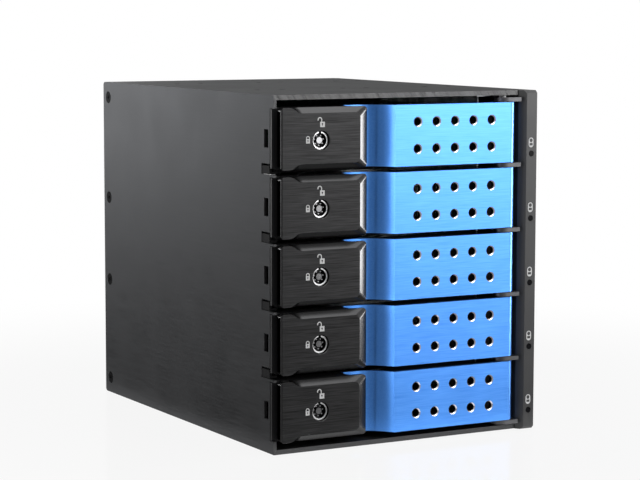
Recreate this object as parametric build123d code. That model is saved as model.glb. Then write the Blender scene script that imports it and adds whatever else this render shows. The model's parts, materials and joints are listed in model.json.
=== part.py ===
from build123d import *
import math
import os

# A trayless cage for five hard drives, standing on edge. The drives lie flat and slide in from the
# front, each behind its own hinged door. X runs to the right, Y to the back and Z up, in millimetres.
# The origin is the middle of the base.

# Drives, and the room around them
BAY_COUNT = 5
DRIVE_WIDTH = 101.6
DRIVE_HEIGHT = 26.1
DRIVE_LENGTH = 147.0
DRIVE_SIDE_GAP = 0.85
DRIVE_HEAD_GAP = 0.6
DOOR_SPACE = 11.0
REAR_SPACE = 12.0
RIGHT_COLUMN = 18.3
END_GAP = 1.75

# Sheets and plates of the shell
SIDE_SHEET = 1.2
PLATE_SHEET = 2.0
SHELF_SHEET = 1.0
WALL_SHEET = 1.0
REAR_SHEET = 1.2
REAR_FLANGE = 11.0
WALL_FLANGE = 7.0
WALL_SETBACK = 1.0
CORNER_RADIUS = 1.5

# Clearances
SEAT_GAP = 0.3
PIN_FIT = 0.02
CUT = 1.0
RUNNING_FIT = 0.05

# Cut-outs along the side panel's front edge
LIP_RECESS = 3.5
NOTCH_DEPTH = 10.7
NOTCH_HEIGHT = 4.5
NOTCH_BELOW = 0.75
WINDOW_SETBACK = 4.8
WINDOW_LENGTH = 3.6
WINDOW_HEIGHT = 7.4
EAR_SETBACK = 4.0
EAR_HEIGHT = 3.4

# Countersunk screws of the side panels
SCREW_HEAD_RADIUS = 2.75
SCREW_SHANK_RADIUS = 1.45
SCREW_TIP = 0.3
SCREW_SETBACK = 5.5
SCREW_END_INSET = 7.0
SCREW_MIDDLE_PITCH = 38.6

# Threaded holes for mounting in three 5.25-inch bays
MOUNT_BAY_COUNT = 3
MOUNT_HOLE_RADIUS = 1.5
MOUNT_ROW = 10.0
MOUNT_ROW_PITCH = 11.84
MOUNT_SETBACK = 52.3
MOUNT_PITCH = 79.25

# Door faces: one extruded profile with a flat, a rounded hinge end and a finger scoop
DOOR_GAP = 2.3
FACE_PROUD = 3.5
FACE_WALL = 2.0
FACE_END_RADIUS = 4.5
FACE_WRAP = 10.0
SCOOP_GAP = 0.5
SCOOP_LENGTH = 11.7
SCOOP_DEPTH = 9.0
SCOOP_ANGLE = 50.0
RUN_OVERLAP = 7.0
VENT_COLUMNS = 5
VENT_ROWS = 2
VENT_RADIUS = 1.5
VENT_RIM = 0.65
VENT_PITCH_X = 9.1
VENT_PITCH_Z = 11.2
VENT_FIRST = 10.8

# Door frames
FRAME_END_GAP = 0.2
FRAME_RAIL = 1.3
FRAME_WALL = 1.6
FRAME_SIDE_GAP = 0.8
LIP_SETBACK = 2.0
LIP_WALL = 1.2
LIP_INSET = 0.1
LIP_END_GAP = 0.6
TAPER_START = 18.5
TAPER_END = 8.0
NECK_WALL = 1.9
WEB_WINDOWS = 3
WEB_RIB = 2.4
WEB_BORDER = 4.0

# Hinge at the right end of the doors
HINGE_OFFSET = 6.5
ROD_RADIUS = 1.0
LUG_RADIUS = 4.1
KNUCKLE_GAP = 0.2
LUG_GAP = 0.3
SPINE_OFFSET = 1.0
SPINE_SETBACK = 6.0
DOOR_OPEN = 105.0

# Ejector that the door's crank drives
CRANK_RADIUS = 4.6
CRANK_PIN_RADIUS = 0.8
CRANK_EYE = 1.6
CRANK_SHEET = 2.0
FORK_SLOT = 2.4
FORK_PRONG = 1.2
FORK_RIGHT_GAP = 0.4
EJECTOR_SHEET = 1.2
EJECTOR_HEIGHT = 8.0
EJECTOR_TOP = 2.0
EJECTOR_GAP = 0.4
EJECTOR_REACH = 9.0
GUIDE_LENGTH = 8.0
GUIDE_WALL = 1.0
GUIDE_SETBACKS = (40.0, 120.0)

# Latch lever, its pin and its spring
LEVER_END_GAP = 0.2
LEVER_LENGTH = 41.0
LEVER_INSET = 1.5
LEVER_SETBACK = 0.2
LEVER_NOSE = 0.8
LEVER_NOSE_LIFT = 0.66
PIVOT_INSET = 3.8
LEVER_BEVEL = 2.3
LEVER_BEVEL_START = 3.4
LEVER_BEVEL_CURVE = 3.3
LEVER_RIGHT_BEVEL = 4.4
LEVER_CORNER = 2.2
LEVER_EDGE = 1.4
LEVER_BOSS = 2.3
PIN_RADIUS = 0.9
EAR_RADIUS = 1.7
EAR_SHOULDER = 1.0
EAR_CLEARANCE = 0.3
HOOK_HEIGHT = 6.8
HOOK_ARM = 2.4
HOOK_OFFSET = 1.8
HOOK_TIP_GAP = 0.3
HOOK_SETBACK = 5.2
HOOK_LENGTH = 2.1
HOOK_TIP_LENGTH = 0.7
HOOK_SWEEP = 3.9
HOOK_CLEARANCE = 1.0
SPRING_SHEET = 0.4
SPRING_HEIGHT = 4.0
SPRING_FOOT = 5.5
SPRING_REACH = 5.0
SPRING_RISE = 3.4
SPRING_BEND = 1.5

# Key lock in the lever
LOCK_OFFSET = 18.6
LOCK_DROP = 0.9
LOCK_RADIUS = 3.6
LOCK_HOLE_RADIUS = 4.0
LOCK_HOLE_DEPTH = 1.8
LOCK_RECESS = 1.5
LOCK_BOSS_RADIUS = 5.0
LOCK_BOSS_LENGTH = 2.9
LOCK_SOCKET_RADIUS = 3.05
LOCK_SOCKET_DEPTH = 2.6
LOCK_POST_RADIUS = 1.3
LOCK_POST_DROP = 0.6
LOCK_INDEX = 1.3
CAM_STEM_RADIUS = 2.0
CAM_GAP = 1.4
CAM_SHEET = 1.2
CAM_REACH = 9.5
CAM_WIDTH = 4.6
KEEPER_WIDTH = 10.2
KEEPER_DROP = 6.9
KEEPER_WALL = 1.3

# Indicator strip at the right edge
STRIP_WIDTH = 7.5
STRIP_FACE = 5.2
STRIP_SLOPE = 3.0
STRIP_DEPTH = 8.0
STRIP_CHAMFER = 1.2
PIPE_RADIUS = 1.3
PIPE_INSET = 2.7
PIPE_DROP = 9.3
LAMP_SIZE = 1.6
LAMP_HEIGHT = 0.8
BOARD_SHEET = 1.6
INDICATOR_BOARD_WIDTH = 5.4
INDICATOR_BOARD_INSET = 4.0

# Backplane and its connectors
BOARD_SETBACK = 4.0
BOARD_MARGIN = 0.6
BOARD_SLOT_LENGTH = 34.0
BOARD_SLOT_HEIGHT = 9.0
BOARD_SLOT_LEFT = 46.0
SOCKET_LENGTH = 43.0
SOCKET_HEIGHT = 5.6
SOCKET_DEPTH = 8.0
SOCKET_LEFT = 9.0
SOCKET_WALL = 1.2
SOCKET_TONGUE = 1.2
SOCKET_POCKET = 5.0
DATA_PORT_HEIGHT = 14.5
DATA_PORT_WIDTH = 5.6
DATA_PORT_DEPTH = 8.0
DATA_PORT_INSET = 13.0
POWER_HEIGHT = 22.0
POWER_WIDTH = 9.0
POWER_DEPTH = 9.0
POWER_INSET = 23.0
POWER_PIN_RADIUS = 2.0
POWER_PINS = 4
PORT_CLEARANCE = 0.6
PORT_WALL = 1.1
STANDOFF_RADIUS = 2.6
STANDOFF_INSET = 5.0
STANDOFF_ROWS = 3

# Fan on the rear panel
FAN_SIDE_GAP = 11.8
FAN_DEPTH = 25.0
FAN_INSET = 3.3
FAN_FLANGE = 4.0
FAN_RIM = 2.0
FAN_CORNER = 4.0
FAN_HOLE_INSET = 4.25
FAN_HOLE_RADIUS = 2.15
FAN_SHROUD = 1.6
FAN_TIP_GAP = 1.0
FAN_HUB_RADIUS = 17.0
FAN_STRUTS = 4
FAN_STRUT_WIDTH = 4.0
FAN_BLADES = 7
FAN_BLADE_WALL = 1.4
FAN_BLADE_CHORD = 17.0
FAN_ROOT_PITCH = 48.0
FAN_TIP_PITCH = 30.0
FAN_CUP_WALL = 1.8
FAN_SHAFT_RADIUS = 1.5
FAN_TUBE_RADIUS = 4.0
FAN_AXIAL_GAP = 2.5
FAN_SCREW_RADIUS = 1.9
FAN_SCREW_HEAD_RADIUS = 3.4
FAN_SCREW_HEAD = 1.8
GRILLE_RINGS = 4
GRILLE_SPOKES = 4
GRILLE_BAR = 3.0
GRILLE_CENTRE = 12.0

# Places worked out from the sizes above
BAY_PITCH = DRIVE_HEIGHT + DRIVE_HEAD_GAP + SHELF_SHEET
SHELL_HEIGHT = BAY_COUNT * BAY_PITCH + 2 * (END_GAP + PLATE_SHEET)
BAY_WIDTH = DRIVE_WIDTH + 2 * DRIVE_SIDE_GAP
SHELL_WIDTH = 2 * SIDE_SHEET + BAY_WIDTH + WALL_SHEET + RIGHT_COLUMN
SHELL_DEPTH = DOOR_SPACE + DRIVE_LENGTH + REAR_SPACE
LEFT = -SHELL_WIDTH / 2
RIGHT = SHELL_WIDTH / 2
FRONT = -SHELL_DEPTH / 2
BACK = SHELL_DEPTH / 2
LEFT_IN = LEFT + SIDE_SHEET
RIGHT_IN = RIGHT - SIDE_SHEET
FLOOR = PLATE_SHEET
CEILING = SHELL_HEIGHT - PLATE_SHEET
MIDDLE = SHELL_HEIGHT / 2
WALL_LEFT = LEFT_IN + BAY_WIDTH
WALL_RIGHT = WALL_LEFT + WALL_SHEET
DRIVE_FRONT = FRONT + DOOR_SPACE
WALL_FRONT = DRIVE_FRONT + WALL_SETBACK
DRIVE_BACK = DRIVE_FRONT + DRIVE_LENGTH
BOARD_FRONT = DRIVE_BACK + BOARD_SETBACK
BOARD_BACK = BOARD_FRONT + BOARD_SHEET
REAR_IN = BACK - REAR_SHEET
BAY_CENTRES = [MIDDLE + ((BAY_COUNT - 1) / 2 - k) * BAY_PITCH for k in range(BAY_COUNT)]
SHELF_LEVELS = [z - BAY_PITCH / 2 for z in BAY_CENTRES]
LUG_LEVELS = [BAY_CENTRES[0] + BAY_PITCH / 2] + SHELF_LEVELS

FACE_HEIGHT = BAY_PITCH - DOOR_GAP
FRAME_HEIGHT = FACE_HEIGHT - 2 * FRAME_END_GAP
LEVER_HEIGHT = FACE_HEIGHT - 2 * LEVER_END_GAP
LIP_HEIGHT = FRAME_HEIGHT - 2 * LIP_END_GAP
FACE_FRONT = FRONT - FACE_PROUD
FACE_BACK = FACE_FRONT + FACE_WALL
RUN_FRONT = FACE_FRONT + SCOOP_DEPTH
WEB_FRONT = RUN_FRONT + FACE_WALL
WEB_BACK = WEB_FRONT + FRAME_WALL
HINGE_X = WALL_LEFT + HINGE_OFFSET
HINGE_Y = FACE_FRONT + FACE_END_RADIUS
KNUCKLE_RADIUS = FACE_END_RADIUS - FACE_WALL - KNUCKLE_GAP
CRANK_ANGLE = 180 - DOOR_OPEN / 2
CRANK_X = HINGE_X + CRANK_RADIUS * math.cos(math.radians(CRANK_ANGLE))
CRANK_Y = HINGE_Y + CRANK_RADIUS * math.sin(math.radians(CRANK_ANGLE))
EJECTOR_TRAVEL = 2 * CRANK_RADIUS * math.sin(math.radians(DOOR_OPEN / 2))
EJECTOR_LEFT = WALL_RIGHT + EJECTOR_GAP
EJECTOR_RIGHT = EJECTOR_LEFT + EJECTOR_SHEET
EJECTOR_HOOK = DRIVE_BACK + SEAT_GAP

LEVER_LEFT = LEFT + LEVER_INSET
LEVER_RIGHT = LEVER_LEFT + LEVER_LENGTH
LEVER_FRONT = FACE_FRONT + LEVER_SETBACK
PIVOT_X = LEVER_LEFT + PIVOT_INSET
PIVOT_Y = LEVER_FRONT + PIVOT_INSET
LOCK_X = LEVER_LEFT + LOCK_OFFSET
LOCK_BOSS_BACK = PIVOT_Y + LOCK_BOSS_LENGTH
CAM_FRONT = LOCK_BOSS_BACK + CAM_GAP
EDGE_X = LEVER_RIGHT + SCOOP_GAP + SCOOP_LENGTH
RUN_TIP = LEVER_RIGHT - RUN_OVERLAP
FRAME_LEFT = LEFT_IN + FRAME_SIDE_GAP
TRAY_RIGHT = RUN_TIP - SEAT_GAP
LIP_FRONT = FRONT + LIP_SETBACK
RAIL_FRONT = PIVOT_Y + SEAT_GAP
SCOOP_TURN = math.radians(SCOOP_ANGLE)
SCOOP_SLOPE = SCOOP_DEPTH / math.tan(SCOOP_TURN / 2) - SCOOP_LENGTH
SCOOP_RADIUS = (SCOOP_LENGTH - SCOOP_SLOPE * math.cos(SCOOP_TURN)) / math.sin(SCOOP_TURN)
INNER_EDGE_X = EDGE_X + FACE_WALL * math.tan(SCOOP_TURN / 2)
VENT_LEFT = INNER_EDGE_X + SEAT_GAP

FAN_LEFT = LEFT_IN + POWER_INSET + POWER_WIDTH / 2 + FAN_SIDE_GAP
FAN_RIGHT = RIGHT_IN - FAN_INSET
FAN_SIZE = FAN_RIGHT - FAN_LEFT
FAN_X = (FAN_LEFT + FAN_RIGHT) / 2
FAN_HOLE_PITCH = FAN_SIZE - 2 * FAN_HOLE_INSET
FAN_BORE = FAN_SIZE / 2 - FAN_RIM
FAN_BACK = BACK + FAN_DEPTH


def rect(x0, x1, y0, y1):
    return Pos((x0 + x1) / 2, (y0 + y1) / 2) * Rectangle(x1 - x0, y1 - y0)


def disc(x, y, radius):
    return Pos(x, y) * Circle(radius)


def level(plan, z0, z1):
    """Raise a plan, drawn in X and Y, from z0 to z1."""
    return extrude(Plane.XY.offset(z0) * plan, z1 - z0)


def upright(view, y0, y1):
    """Thicken a front view, drawn in X and Z, from y0 to y1."""
    return extrude(Plane.XZ.offset(-y1) * view, y1 - y0)


def sideways(view, x0, x1):
    """Thicken a side view, drawn in Y and Z, from x0 to x1."""
    return extrude(Plane.YZ.offset(x0) * view, x1 - x0)


def block(x0, x1, y0, y1, z0, z1):
    return level(rect(x0, x1, y0, y1), z0, z1)


def pattern(places, outline):
    """Copies of an outline at a set of places, as one sketch."""
    return Sketch() + [place * outline for place in places]


def screw_levels():
    half = SCREW_MIDDLE_PITCH / 2
    return (SCREW_END_INSET, MIDDLE - half, MIDDLE + half, SHELL_HEIGHT - SCREW_END_INSET)


def countersunk_screw(growth=0.0):
    """A countersunk screw along Z with the top of its head at 0, or, grown, the hole for it."""
    head = SCREW_HEAD_RADIUS + growth
    shank = SCREW_SHANK_RADIUS + growth
    tip = -SIDE_SHEET - REAR_SHEET - SCREW_TIP
    points = [(0, 0), (head, 0), (shank, shank - head), (shank, tip), (0, tip)]
    return revolve(make_face(Plane.XZ * Polyline(*points, close=True)), Axis.Z)


def side_screws(side, growth=0.0):
    """The screws of one side panel; side is -1 for the left and 1 for the right."""
    y = BACK - SCREW_SETBACK
    face = side * RIGHT
    turned = Rot(0, side * 90, 0) * countersunk_screw(growth)
    return [Pos(face, y, z) * turned for z in screw_levels()]


def side_sheet_view():
    outline = rect(FRONT, BACK, 0, SHELL_HEIGHT)
    return fillet(outline.vertices().group_by(Axis.X)[-1], CORNER_RADIUS)


def left_side_panel():
    view = side_sheet_view()
    for z in BAY_CENTRES:
        half = LIP_HEIGHT / 2 + SEAT_GAP
        view -= rect(FRONT - CUT, FRONT + LIP_RECESS, z - half, z + half)
        start = FRONT + WINDOW_SETBACK
        view -= rect(start, start + WINDOW_LENGTH, z - WINDOW_HEIGHT / 2, z + WINDOW_HEIGHT / 2)
    for z in SHELF_LEVELS[:-1]:
        low = z - NOTCH_BELOW
        view -= rect(FRONT - CUT, FRONT + NOTCH_DEPTH, low, low + NOTCH_HEIGHT)
    return sideways(view, LEFT, LEFT_IN) - side_screws(-1, RUNNING_FIT)


def right_side_panel():
    return sideways(side_sheet_view(), RIGHT_IN, RIGHT) - side_screws(1, RUNNING_FIT)


def mount_holes():
    """Both rows of side-mount holes of every 5.25-inch bay, in plan."""
    holes = Sketch()
    bay = SHELL_WIDTH / MOUNT_BAY_COUNT
    for k in range(MOUNT_BAY_COUNT):
        x = RIGHT - k * bay - MOUNT_ROW - MOUNT_ROW_PITCH / 2
        y = FRONT + MOUNT_SETBACK + MOUNT_PITCH / 2
        grid = GridLocations(MOUNT_ROW_PITCH, MOUNT_PITCH, 2, 2)
        holes += Pos(x, y) * pattern(grid, Circle(MOUNT_HOLE_RADIUS))
    return holes


def plate(z0, z1):
    return level(rect(LEFT_IN, RIGHT_IN, FRONT, BACK) - mount_holes(), z0, z1)


def shelf(z, has_ear):
    """A drive shelf. All but the lowest have a bent-up ear that sits in the side panel's notch."""
    low = z - SHELF_SHEET / 2
    high = z + SHELF_SHEET / 2
    body = block(LEFT_IN, WALL_LEFT, DRIVE_FRONT, DRIVE_BACK, low, high)
    if has_ear:
        start = FRONT + EAR_SETBACK
        stop = FRONT + NOTCH_DEPTH - SEAT_GAP
        body += block(LEFT_IN, LEFT_IN + 2 * SIDE_SHEET, start, DRIVE_FRONT, low, high)
        body += block(LEFT + LIP_INSET, LEFT_IN, start, stop, low, low + EAR_HEIGHT)
    return body


def bay_shelves():
    return [shelf(z, z != SHELF_LEVELS[-1]) for z in SHELF_LEVELS]


def inner_wall():
    """Folded wall between the drives and the right column, with a slot for each ejector's hook."""
    start = WALL_FRONT
    stop = BOARD_FRONT - SEAT_GAP
    right = WALL_LEFT + WALL_FLANGE
    wall = block(WALL_LEFT, WALL_RIGHT, start, stop, FLOOR, CEILING)
    wall += block(WALL_RIGHT, right, start, stop, FLOOR, FLOOR + WALL_SHEET)
    wall += block(WALL_RIGHT, right, start, stop, CEILING - WALL_SHEET, CEILING)
    for z in BAY_CENTRES:
        low = z + EJECTOR_TOP - EJECTOR_HEIGHT - EJECTOR_GAP
        high = z + EJECTOR_TOP + EJECTOR_GAP
        y0 = EJECTOR_HOOK - EJECTOR_TRAVEL - SEAT_GAP
        y1 = EJECTOR_HOOK + EJECTOR_SHEET + SEAT_GAP
        wall -= block(WALL_LEFT - CUT, WALL_RIGHT + CUT, y0, y1, low, high)
    return wall


def hinge_bracket():
    """Upright spine with a lug above, below and between the doors, bored for the hinge rod."""
    strip_wall = RIGHT - STRIP_WIDTH - SEAT_GAP
    left = HINGE_X + SPINE_OFFSET
    top = FRONT + SPINE_SETBACK
    spine = rect(left, strip_wall, top, WALL_FRONT)
    lug = disc(HINGE_X, HINGE_Y, LUG_RADIUS)
    lug += rect(HINGE_X, strip_wall, HINGE_Y - LUG_RADIUS, WALL_FRONT)
    half = DOOR_GAP / 2 - LUG_GAP
    bracket = level(spine, FLOOR, CEILING)
    for z in LUG_LEVELS:
        bracket += level(lug, z - half, z + half)
    return bracket - level(disc(HINGE_X, HINGE_Y, ROD_RADIUS + PIN_FIT), FLOOR, CEILING)


def hinge_rod():
    return level(disc(HINGE_X, HINGE_Y, ROD_RADIUS), FLOOR + SEAT_GAP, CEILING - SEAT_GAP)


def scoop_edges(edge, foot, radius):
    """Edges of the finger scoop: a slope from the flat's end, a round and the run behind the lever."""
    bend_x = foot[0] + radius * math.sin(SCOOP_TURN)
    bend_y = foot[1] - radius * (1 - math.cos(SCOOP_TURN))
    bend = (bend_x, bend_y)
    return [Line(edge, bend), TangentArc(foot, bend, tangent=(1, 0)), Line(foot, (RUN_TIP, foot[1]))]


def face_plan():
    """Plan of the extruded face: scoop, flat and the end that wraps round the hinge."""
    centre = (HINGE_X, HINGE_Y)
    sweep = 90 + FACE_WRAP
    outer = CenterArc(centre, FACE_END_RADIUS, -90, sweep)
    inner = CenterArc(centre, FACE_END_RADIUS - FACE_WALL, -90, sweep)
    foot_x = EDGE_X - SCOOP_LENGTH
    edges = scoop_edges((EDGE_X, FACE_FRONT), (foot_x, RUN_FRONT), SCOOP_RADIUS)
    edges += scoop_edges((INNER_EDGE_X, FACE_BACK), (foot_x, WEB_FRONT), SCOOP_RADIUS + FACE_WALL)
    edges += [Line((EDGE_X, FACE_FRONT), outer @ 0), outer, Line(outer @ 1, inner @ 1), inner]
    edges += [Line((INNER_EDGE_X, FACE_BACK), inner @ 0)]
    edges += [Line((RUN_TIP, RUN_FRONT), (RUN_TIP, WEB_FRONT))]
    return make_face(edges)


def vent_holes(z):
    """Countersunk vents, in columns and rows about the bay's centre."""
    mouth = VENT_RADIUS + VENT_RIM + CUT
    outline = [
        (0, FACE_FRONT - CUT),
        (mouth, FACE_FRONT - CUT),
        (VENT_RADIUS, FACE_FRONT + VENT_RIM),
        (VENT_RADIUS, FACE_BACK + CUT),
        (0, FACE_BACK + CUT),
    ]
    vent = revolve(make_face(Polyline(*outline, close=True)), Axis.Y)
    middle = EDGE_X + VENT_FIRST + (VENT_COLUMNS - 1) * VENT_PITCH_X / 2
    grid = GridLocations(VENT_PITCH_X, VENT_PITCH_Z, VENT_COLUMNS, VENT_ROWS)
    return [Pos(middle + place.position.X, 0, z + place.position.Y) * vent for place in grid]


def face_plate(z):
    half = FACE_HEIGHT / 2
    return level(face_plan(), z - half, z + half) - vent_holes(z)


def frame_plan():
    """Outer plan of the door frame: lever tray, step behind the face, taper and hinge neck."""
    neck_back = FACE_BACK + NECK_WALL
    step = PIVOT_X + EAR_RADIUS + EAR_SHOULDER
    points = [
        (FRAME_LEFT, LIP_FRONT),
        (FRAME_LEFT, WEB_BACK),
        (HINGE_X - TAPER_START, WEB_BACK),
        (HINGE_X - TAPER_END, neck_back),
        (HINGE_X, neck_back),
        (HINGE_X, FACE_BACK),
        (VENT_LEFT, FACE_BACK),
        (VENT_LEFT, WEB_FRONT),
        (TRAY_RIGHT, WEB_FRONT),
        (TRAY_RIGHT, RAIL_FRONT),
        (step, RAIL_FRONT),
        (step, LIP_FRONT),
    ]
    return make_face(Polyline(*points, close=True))


def taper_pocket_plan():
    """Plan of the hollow behind the face, one wall inside the frame's taper."""
    run = TAPER_START - TAPER_END
    rise = WEB_BACK - FACE_BACK - NECK_WALL
    shift = FRAME_WALL * math.hypot(run, rise) / rise
    corner = HINGE_X - TAPER_START + FRAME_WALL * run / rise - shift
    front = corner + (WEB_FRONT - FACE_BACK) * run / rise
    left = VENT_LEFT + FRAME_WALL
    points = [(left, FACE_BACK), (left, WEB_FRONT), (corner, WEB_FRONT), (front, FACE_BACK)]
    return make_face(Polyline(*points, close=True)), left, corner


def web_windows(z, left, right):
    """Air windows in the web behind the vents."""
    width = (right - left - (WEB_WINDOWS + 1) * WEB_RIB) / WEB_WINDOWS
    height = FRAME_HEIGHT - 2 * WEB_BORDER
    row = pattern(GridLocations(width + WEB_RIB, 1, WEB_WINDOWS, 1), Rectangle(width, height))
    return upright(Pos((left + right) / 2, z) * row, WEB_FRONT - CUT, WEB_BACK + CUT)


def crank(z):
    """Crank arm on the hinge knuckle, with the pin that drives the ejector's fork."""
    arm = SlotCenterToCenter(CRANK_RADIUS, 2 * CRANK_EYE)
    turned = Pos((HINGE_X + CRANK_X) / 2, (HINGE_Y + CRANK_Y) / 2) * (Rot(0, 0, CRANK_ANGLE) * arm)
    bottom = z + EJECTOR_TOP + SEAT_GAP
    pin_end = z + EJECTOR_TOP - EJECTOR_SHEET - SEAT_GAP
    pin = level(disc(CRANK_X, CRANK_Y, CRANK_PIN_RADIUS), pin_end, bottom)
    return level(turned, bottom, bottom + CRANK_SHEET) + pin


def door_frame(z):
    low = z - FRAME_HEIGHT / 2
    high = z + FRAME_HEIGHT / 2
    rail_low = low + FRAME_RAIL
    rail_high = high - FRAME_RAIL
    tray = rect(FRAME_LEFT + LIP_WALL, TRAY_RIGHT - FRAME_WALL, FACE_FRONT, WEB_FRONT)
    taper_pocket, pocket_left, pocket_right = taper_pocket_plan()
    body = level(frame_plan(), low, high)
    body -= level(tray, rail_low, rail_high)
    body -= level(taper_pocket, rail_low, rail_high)
    body -= web_windows(z, pocket_left, pocket_right)
    sweep = HOOK_HEIGHT / 2 + HOOK_CLEARANCE
    lip_back = LIP_FRONT + LIP_WALL
    body -= block(FRAME_LEFT - CUT, PIVOT_X + HOOK_SWEEP, lip_back, WEB_BACK + CUT, z - sweep, z + sweep)
    lip = LIP_HEIGHT / 2
    body += block(LEFT + LIP_INSET, FRAME_LEFT, LIP_FRONT, lip_back, z - lip, z + lip)
    ear = disc(PIVOT_X, PIVOT_Y, EAR_RADIUS)
    ear += rect(PIVOT_X - EAR_RADIUS / 2, PIVOT_X + EAR_RADIUS, PIVOT_Y, LIP_FRONT)
    body += level(ear, low, rail_low) + level(ear, rail_high, high)
    body -= level(disc(PIVOT_X, PIVOT_Y, PIN_RADIUS + PIN_FIT), low, high)
    keeper_left = LOCK_X - KEEPER_WIDTH / 2
    keeper_back = CAM_FRONT - SEAT_GAP
    keeper_low = z - LOCK_DROP + KEEPER_DROP
    keeper = rect(keeper_left, keeper_left + KEEPER_WIDTH, keeper_back - KEEPER_WALL, keeper_back)
    body += level(keeper, keeper_low, rail_high)
    body += level(disc(HINGE_X, HINGE_Y, KNUCKLE_RADIUS), low, high) + crank(z)
    return body - level(disc(HINGE_X, HINGE_Y, ROD_RADIUS + RUNNING_FIT), low, high)


def lever_outline(right, inner, corner):
    """Outline of the lever seen from the front, narrowed to the inner half height past the bend."""
    half = LEVER_HEIGHT / 2
    left = LEVER_LEFT - CUT
    start = LEVER_LEFT + LEVER_BEVEL_START
    bend = start + LEVER_BEVEL_CURVE
    stop = bend + LEVER_BEVEL_CURVE
    middle = (half + inner) / 2
    edges = [Line((left, -half), (left, half)), Line((right, inner - corner), (right, corner - inner))]
    for side in (1, -1):
        top = side * half
        low = side * inner
        edges.append(Line((left, top), (start, top)))
        if inner < half:
            edges.append(TangentArc((start, top), (bend, side * middle), tangent=(1, 0)))
            edges.append(TangentArc((stop, low), (bend, side * middle), tangent=(-1, 0)))
        else:
            edges.append(Line((start, top), (bend, top)))
            edges.append(Line((bend, top), (stop, top)))
        edges.append(Line((stop, low), (right - corner, low)))
        edges.append(TangentArc((right - corner, low), (right, low - side * corner), tangent=(1, 0)))
    return make_face(edges)


def lever_bevels(z):
    """The space that the lever keeps: bevels lofted from its front outline, and all behind them."""
    half = LEVER_HEIGHT / 2
    front = Plane(origin=(0, LEVER_FRONT, z), x_dir=(1, 0, 0), z_dir=(0, 1, 0))
    behind = front.offset(LEVER_BEVEL)
    narrow = front * lever_outline(LEVER_RIGHT - LEVER_RIGHT_BEVEL, half - LEVER_BEVEL, LEVER_CORNER)
    full = behind * lever_outline(LEVER_RIGHT, half, LEVER_EDGE)
    return loft([narrow, full], ruled=True) + extrude(full, WEB_BACK - LEVER_FRONT)


def hook_plan():
    """Plan of the hook: an arm behind the pivot and a ramped nose in the side panel's window."""
    left = PIVOT_X - HOOK_OFFSET
    tip = LEFT + HOOK_TIP_GAP
    nose_front = FRONT + HOOK_SETBACK
    nose_back = nose_front + HOOK_LENGTH
    points = [
        (left, PIVOT_Y),
        (left, nose_front),
        (tip, nose_front),
        (tip, nose_front + HOOK_TIP_LENGTH),
        (left - SIDE_SHEET, nose_back),
        (left + HOOK_ARM, nose_back),
        (left + HOOK_ARM, PIVOT_Y),
    ]
    return make_face(Polyline(*points, close=True))


def lever_plan():
    """Plan of the lever: a rounded nose in front of the pivot, and the pad to its right."""
    nose_x = LEVER_LEFT + LEVER_NOSE
    nose_y = LEVER_FRONT + LEVER_NOSE
    plan = disc(nose_x, nose_y, LEVER_NOSE) + rect(nose_x, PIVOT_X, LEVER_FRONT, nose_y)
    plan += rect(LEVER_LEFT, PIVOT_X, nose_y, PIVOT_Y - LEVER_NOSE_LIFT)
    return plan + rect(PIVOT_X, LEVER_RIGHT, LEVER_FRONT, PIVOT_Y)


def latch_lever(z):
    half = LEVER_HEIGHT / 2
    body = level(lever_plan(), z - half, z + half) & lever_bevels(z)
    middle = Pos(LEVER_LEFT + LEVER_LENGTH / 2, z)
    body &= upright(middle * RectangleRounded(LEVER_LENGTH, LEVER_HEIGHT, LEVER_EDGE), LEVER_FRONT, PIVOT_Y)
    boss_half = FRAME_HEIGHT / 2 - FRAME_RAIL - EAR_CLEARANCE
    ear_room = level(disc(PIVOT_X, PIVOT_Y, EAR_RADIUS + EAR_CLEARANCE), z - half, z + half)
    body -= ear_room - block(LEVER_LEFT, EDGE_X, FACE_FRONT, WEB_BACK, z - boss_half, z + boss_half)
    body += level(disc(PIVOT_X, PIVOT_Y, LEVER_BOSS), z - boss_half, z + boss_half)
    body += level(hook_plan(), z - HOOK_HEIGHT / 2, z + HOOK_HEIGHT / 2)
    lock_z = z - LOCK_DROP
    seat = LEVER_FRONT + LOCK_HOLE_DEPTH
    body += upright(disc(LOCK_X, lock_z, LOCK_BOSS_RADIUS), PIVOT_Y, LOCK_BOSS_BACK)
    body -= upright(disc(LOCK_X, lock_z, LOCK_HOLE_RADIUS), LEVER_FRONT, seat)
    body -= upright(disc(LOCK_X, lock_z, LOCK_RADIUS + RUNNING_FIT), seat, LOCK_BOSS_BACK)
    return body - level(disc(PIVOT_X, PIVOT_Y, PIN_RADIUS + RUNNING_FIT), z - half, z + half)


def latch_pin(z):
    half = FRAME_HEIGHT / 2 - LIP_INSET
    return level(disc(PIVOT_X, PIVOT_Y, PIN_RADIUS), z - half, z + half)


def latch_spring(z):
    """Leaf spring: a foot on the frame's web and a blade that leans against the hook's arm."""
    foot_y = WEB_FRONT - SPRING_SHEET / 2
    tip_x = PIVOT_X - HOOK_OFFSET + HOOK_ARM + SEAT_GAP + SPRING_SHEET / 2
    bend_x = tip_x + SPRING_REACH
    points = [(bend_x + SPRING_FOOT, foot_y), (bend_x, foot_y), (tip_x, foot_y - SPRING_RISE)]
    path = FilletPolyline(*points, radius=SPRING_BEND)
    return level(trace(path, SPRING_SHEET), z - SPRING_HEIGHT / 2, z + SPRING_HEIGHT / 2)


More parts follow.
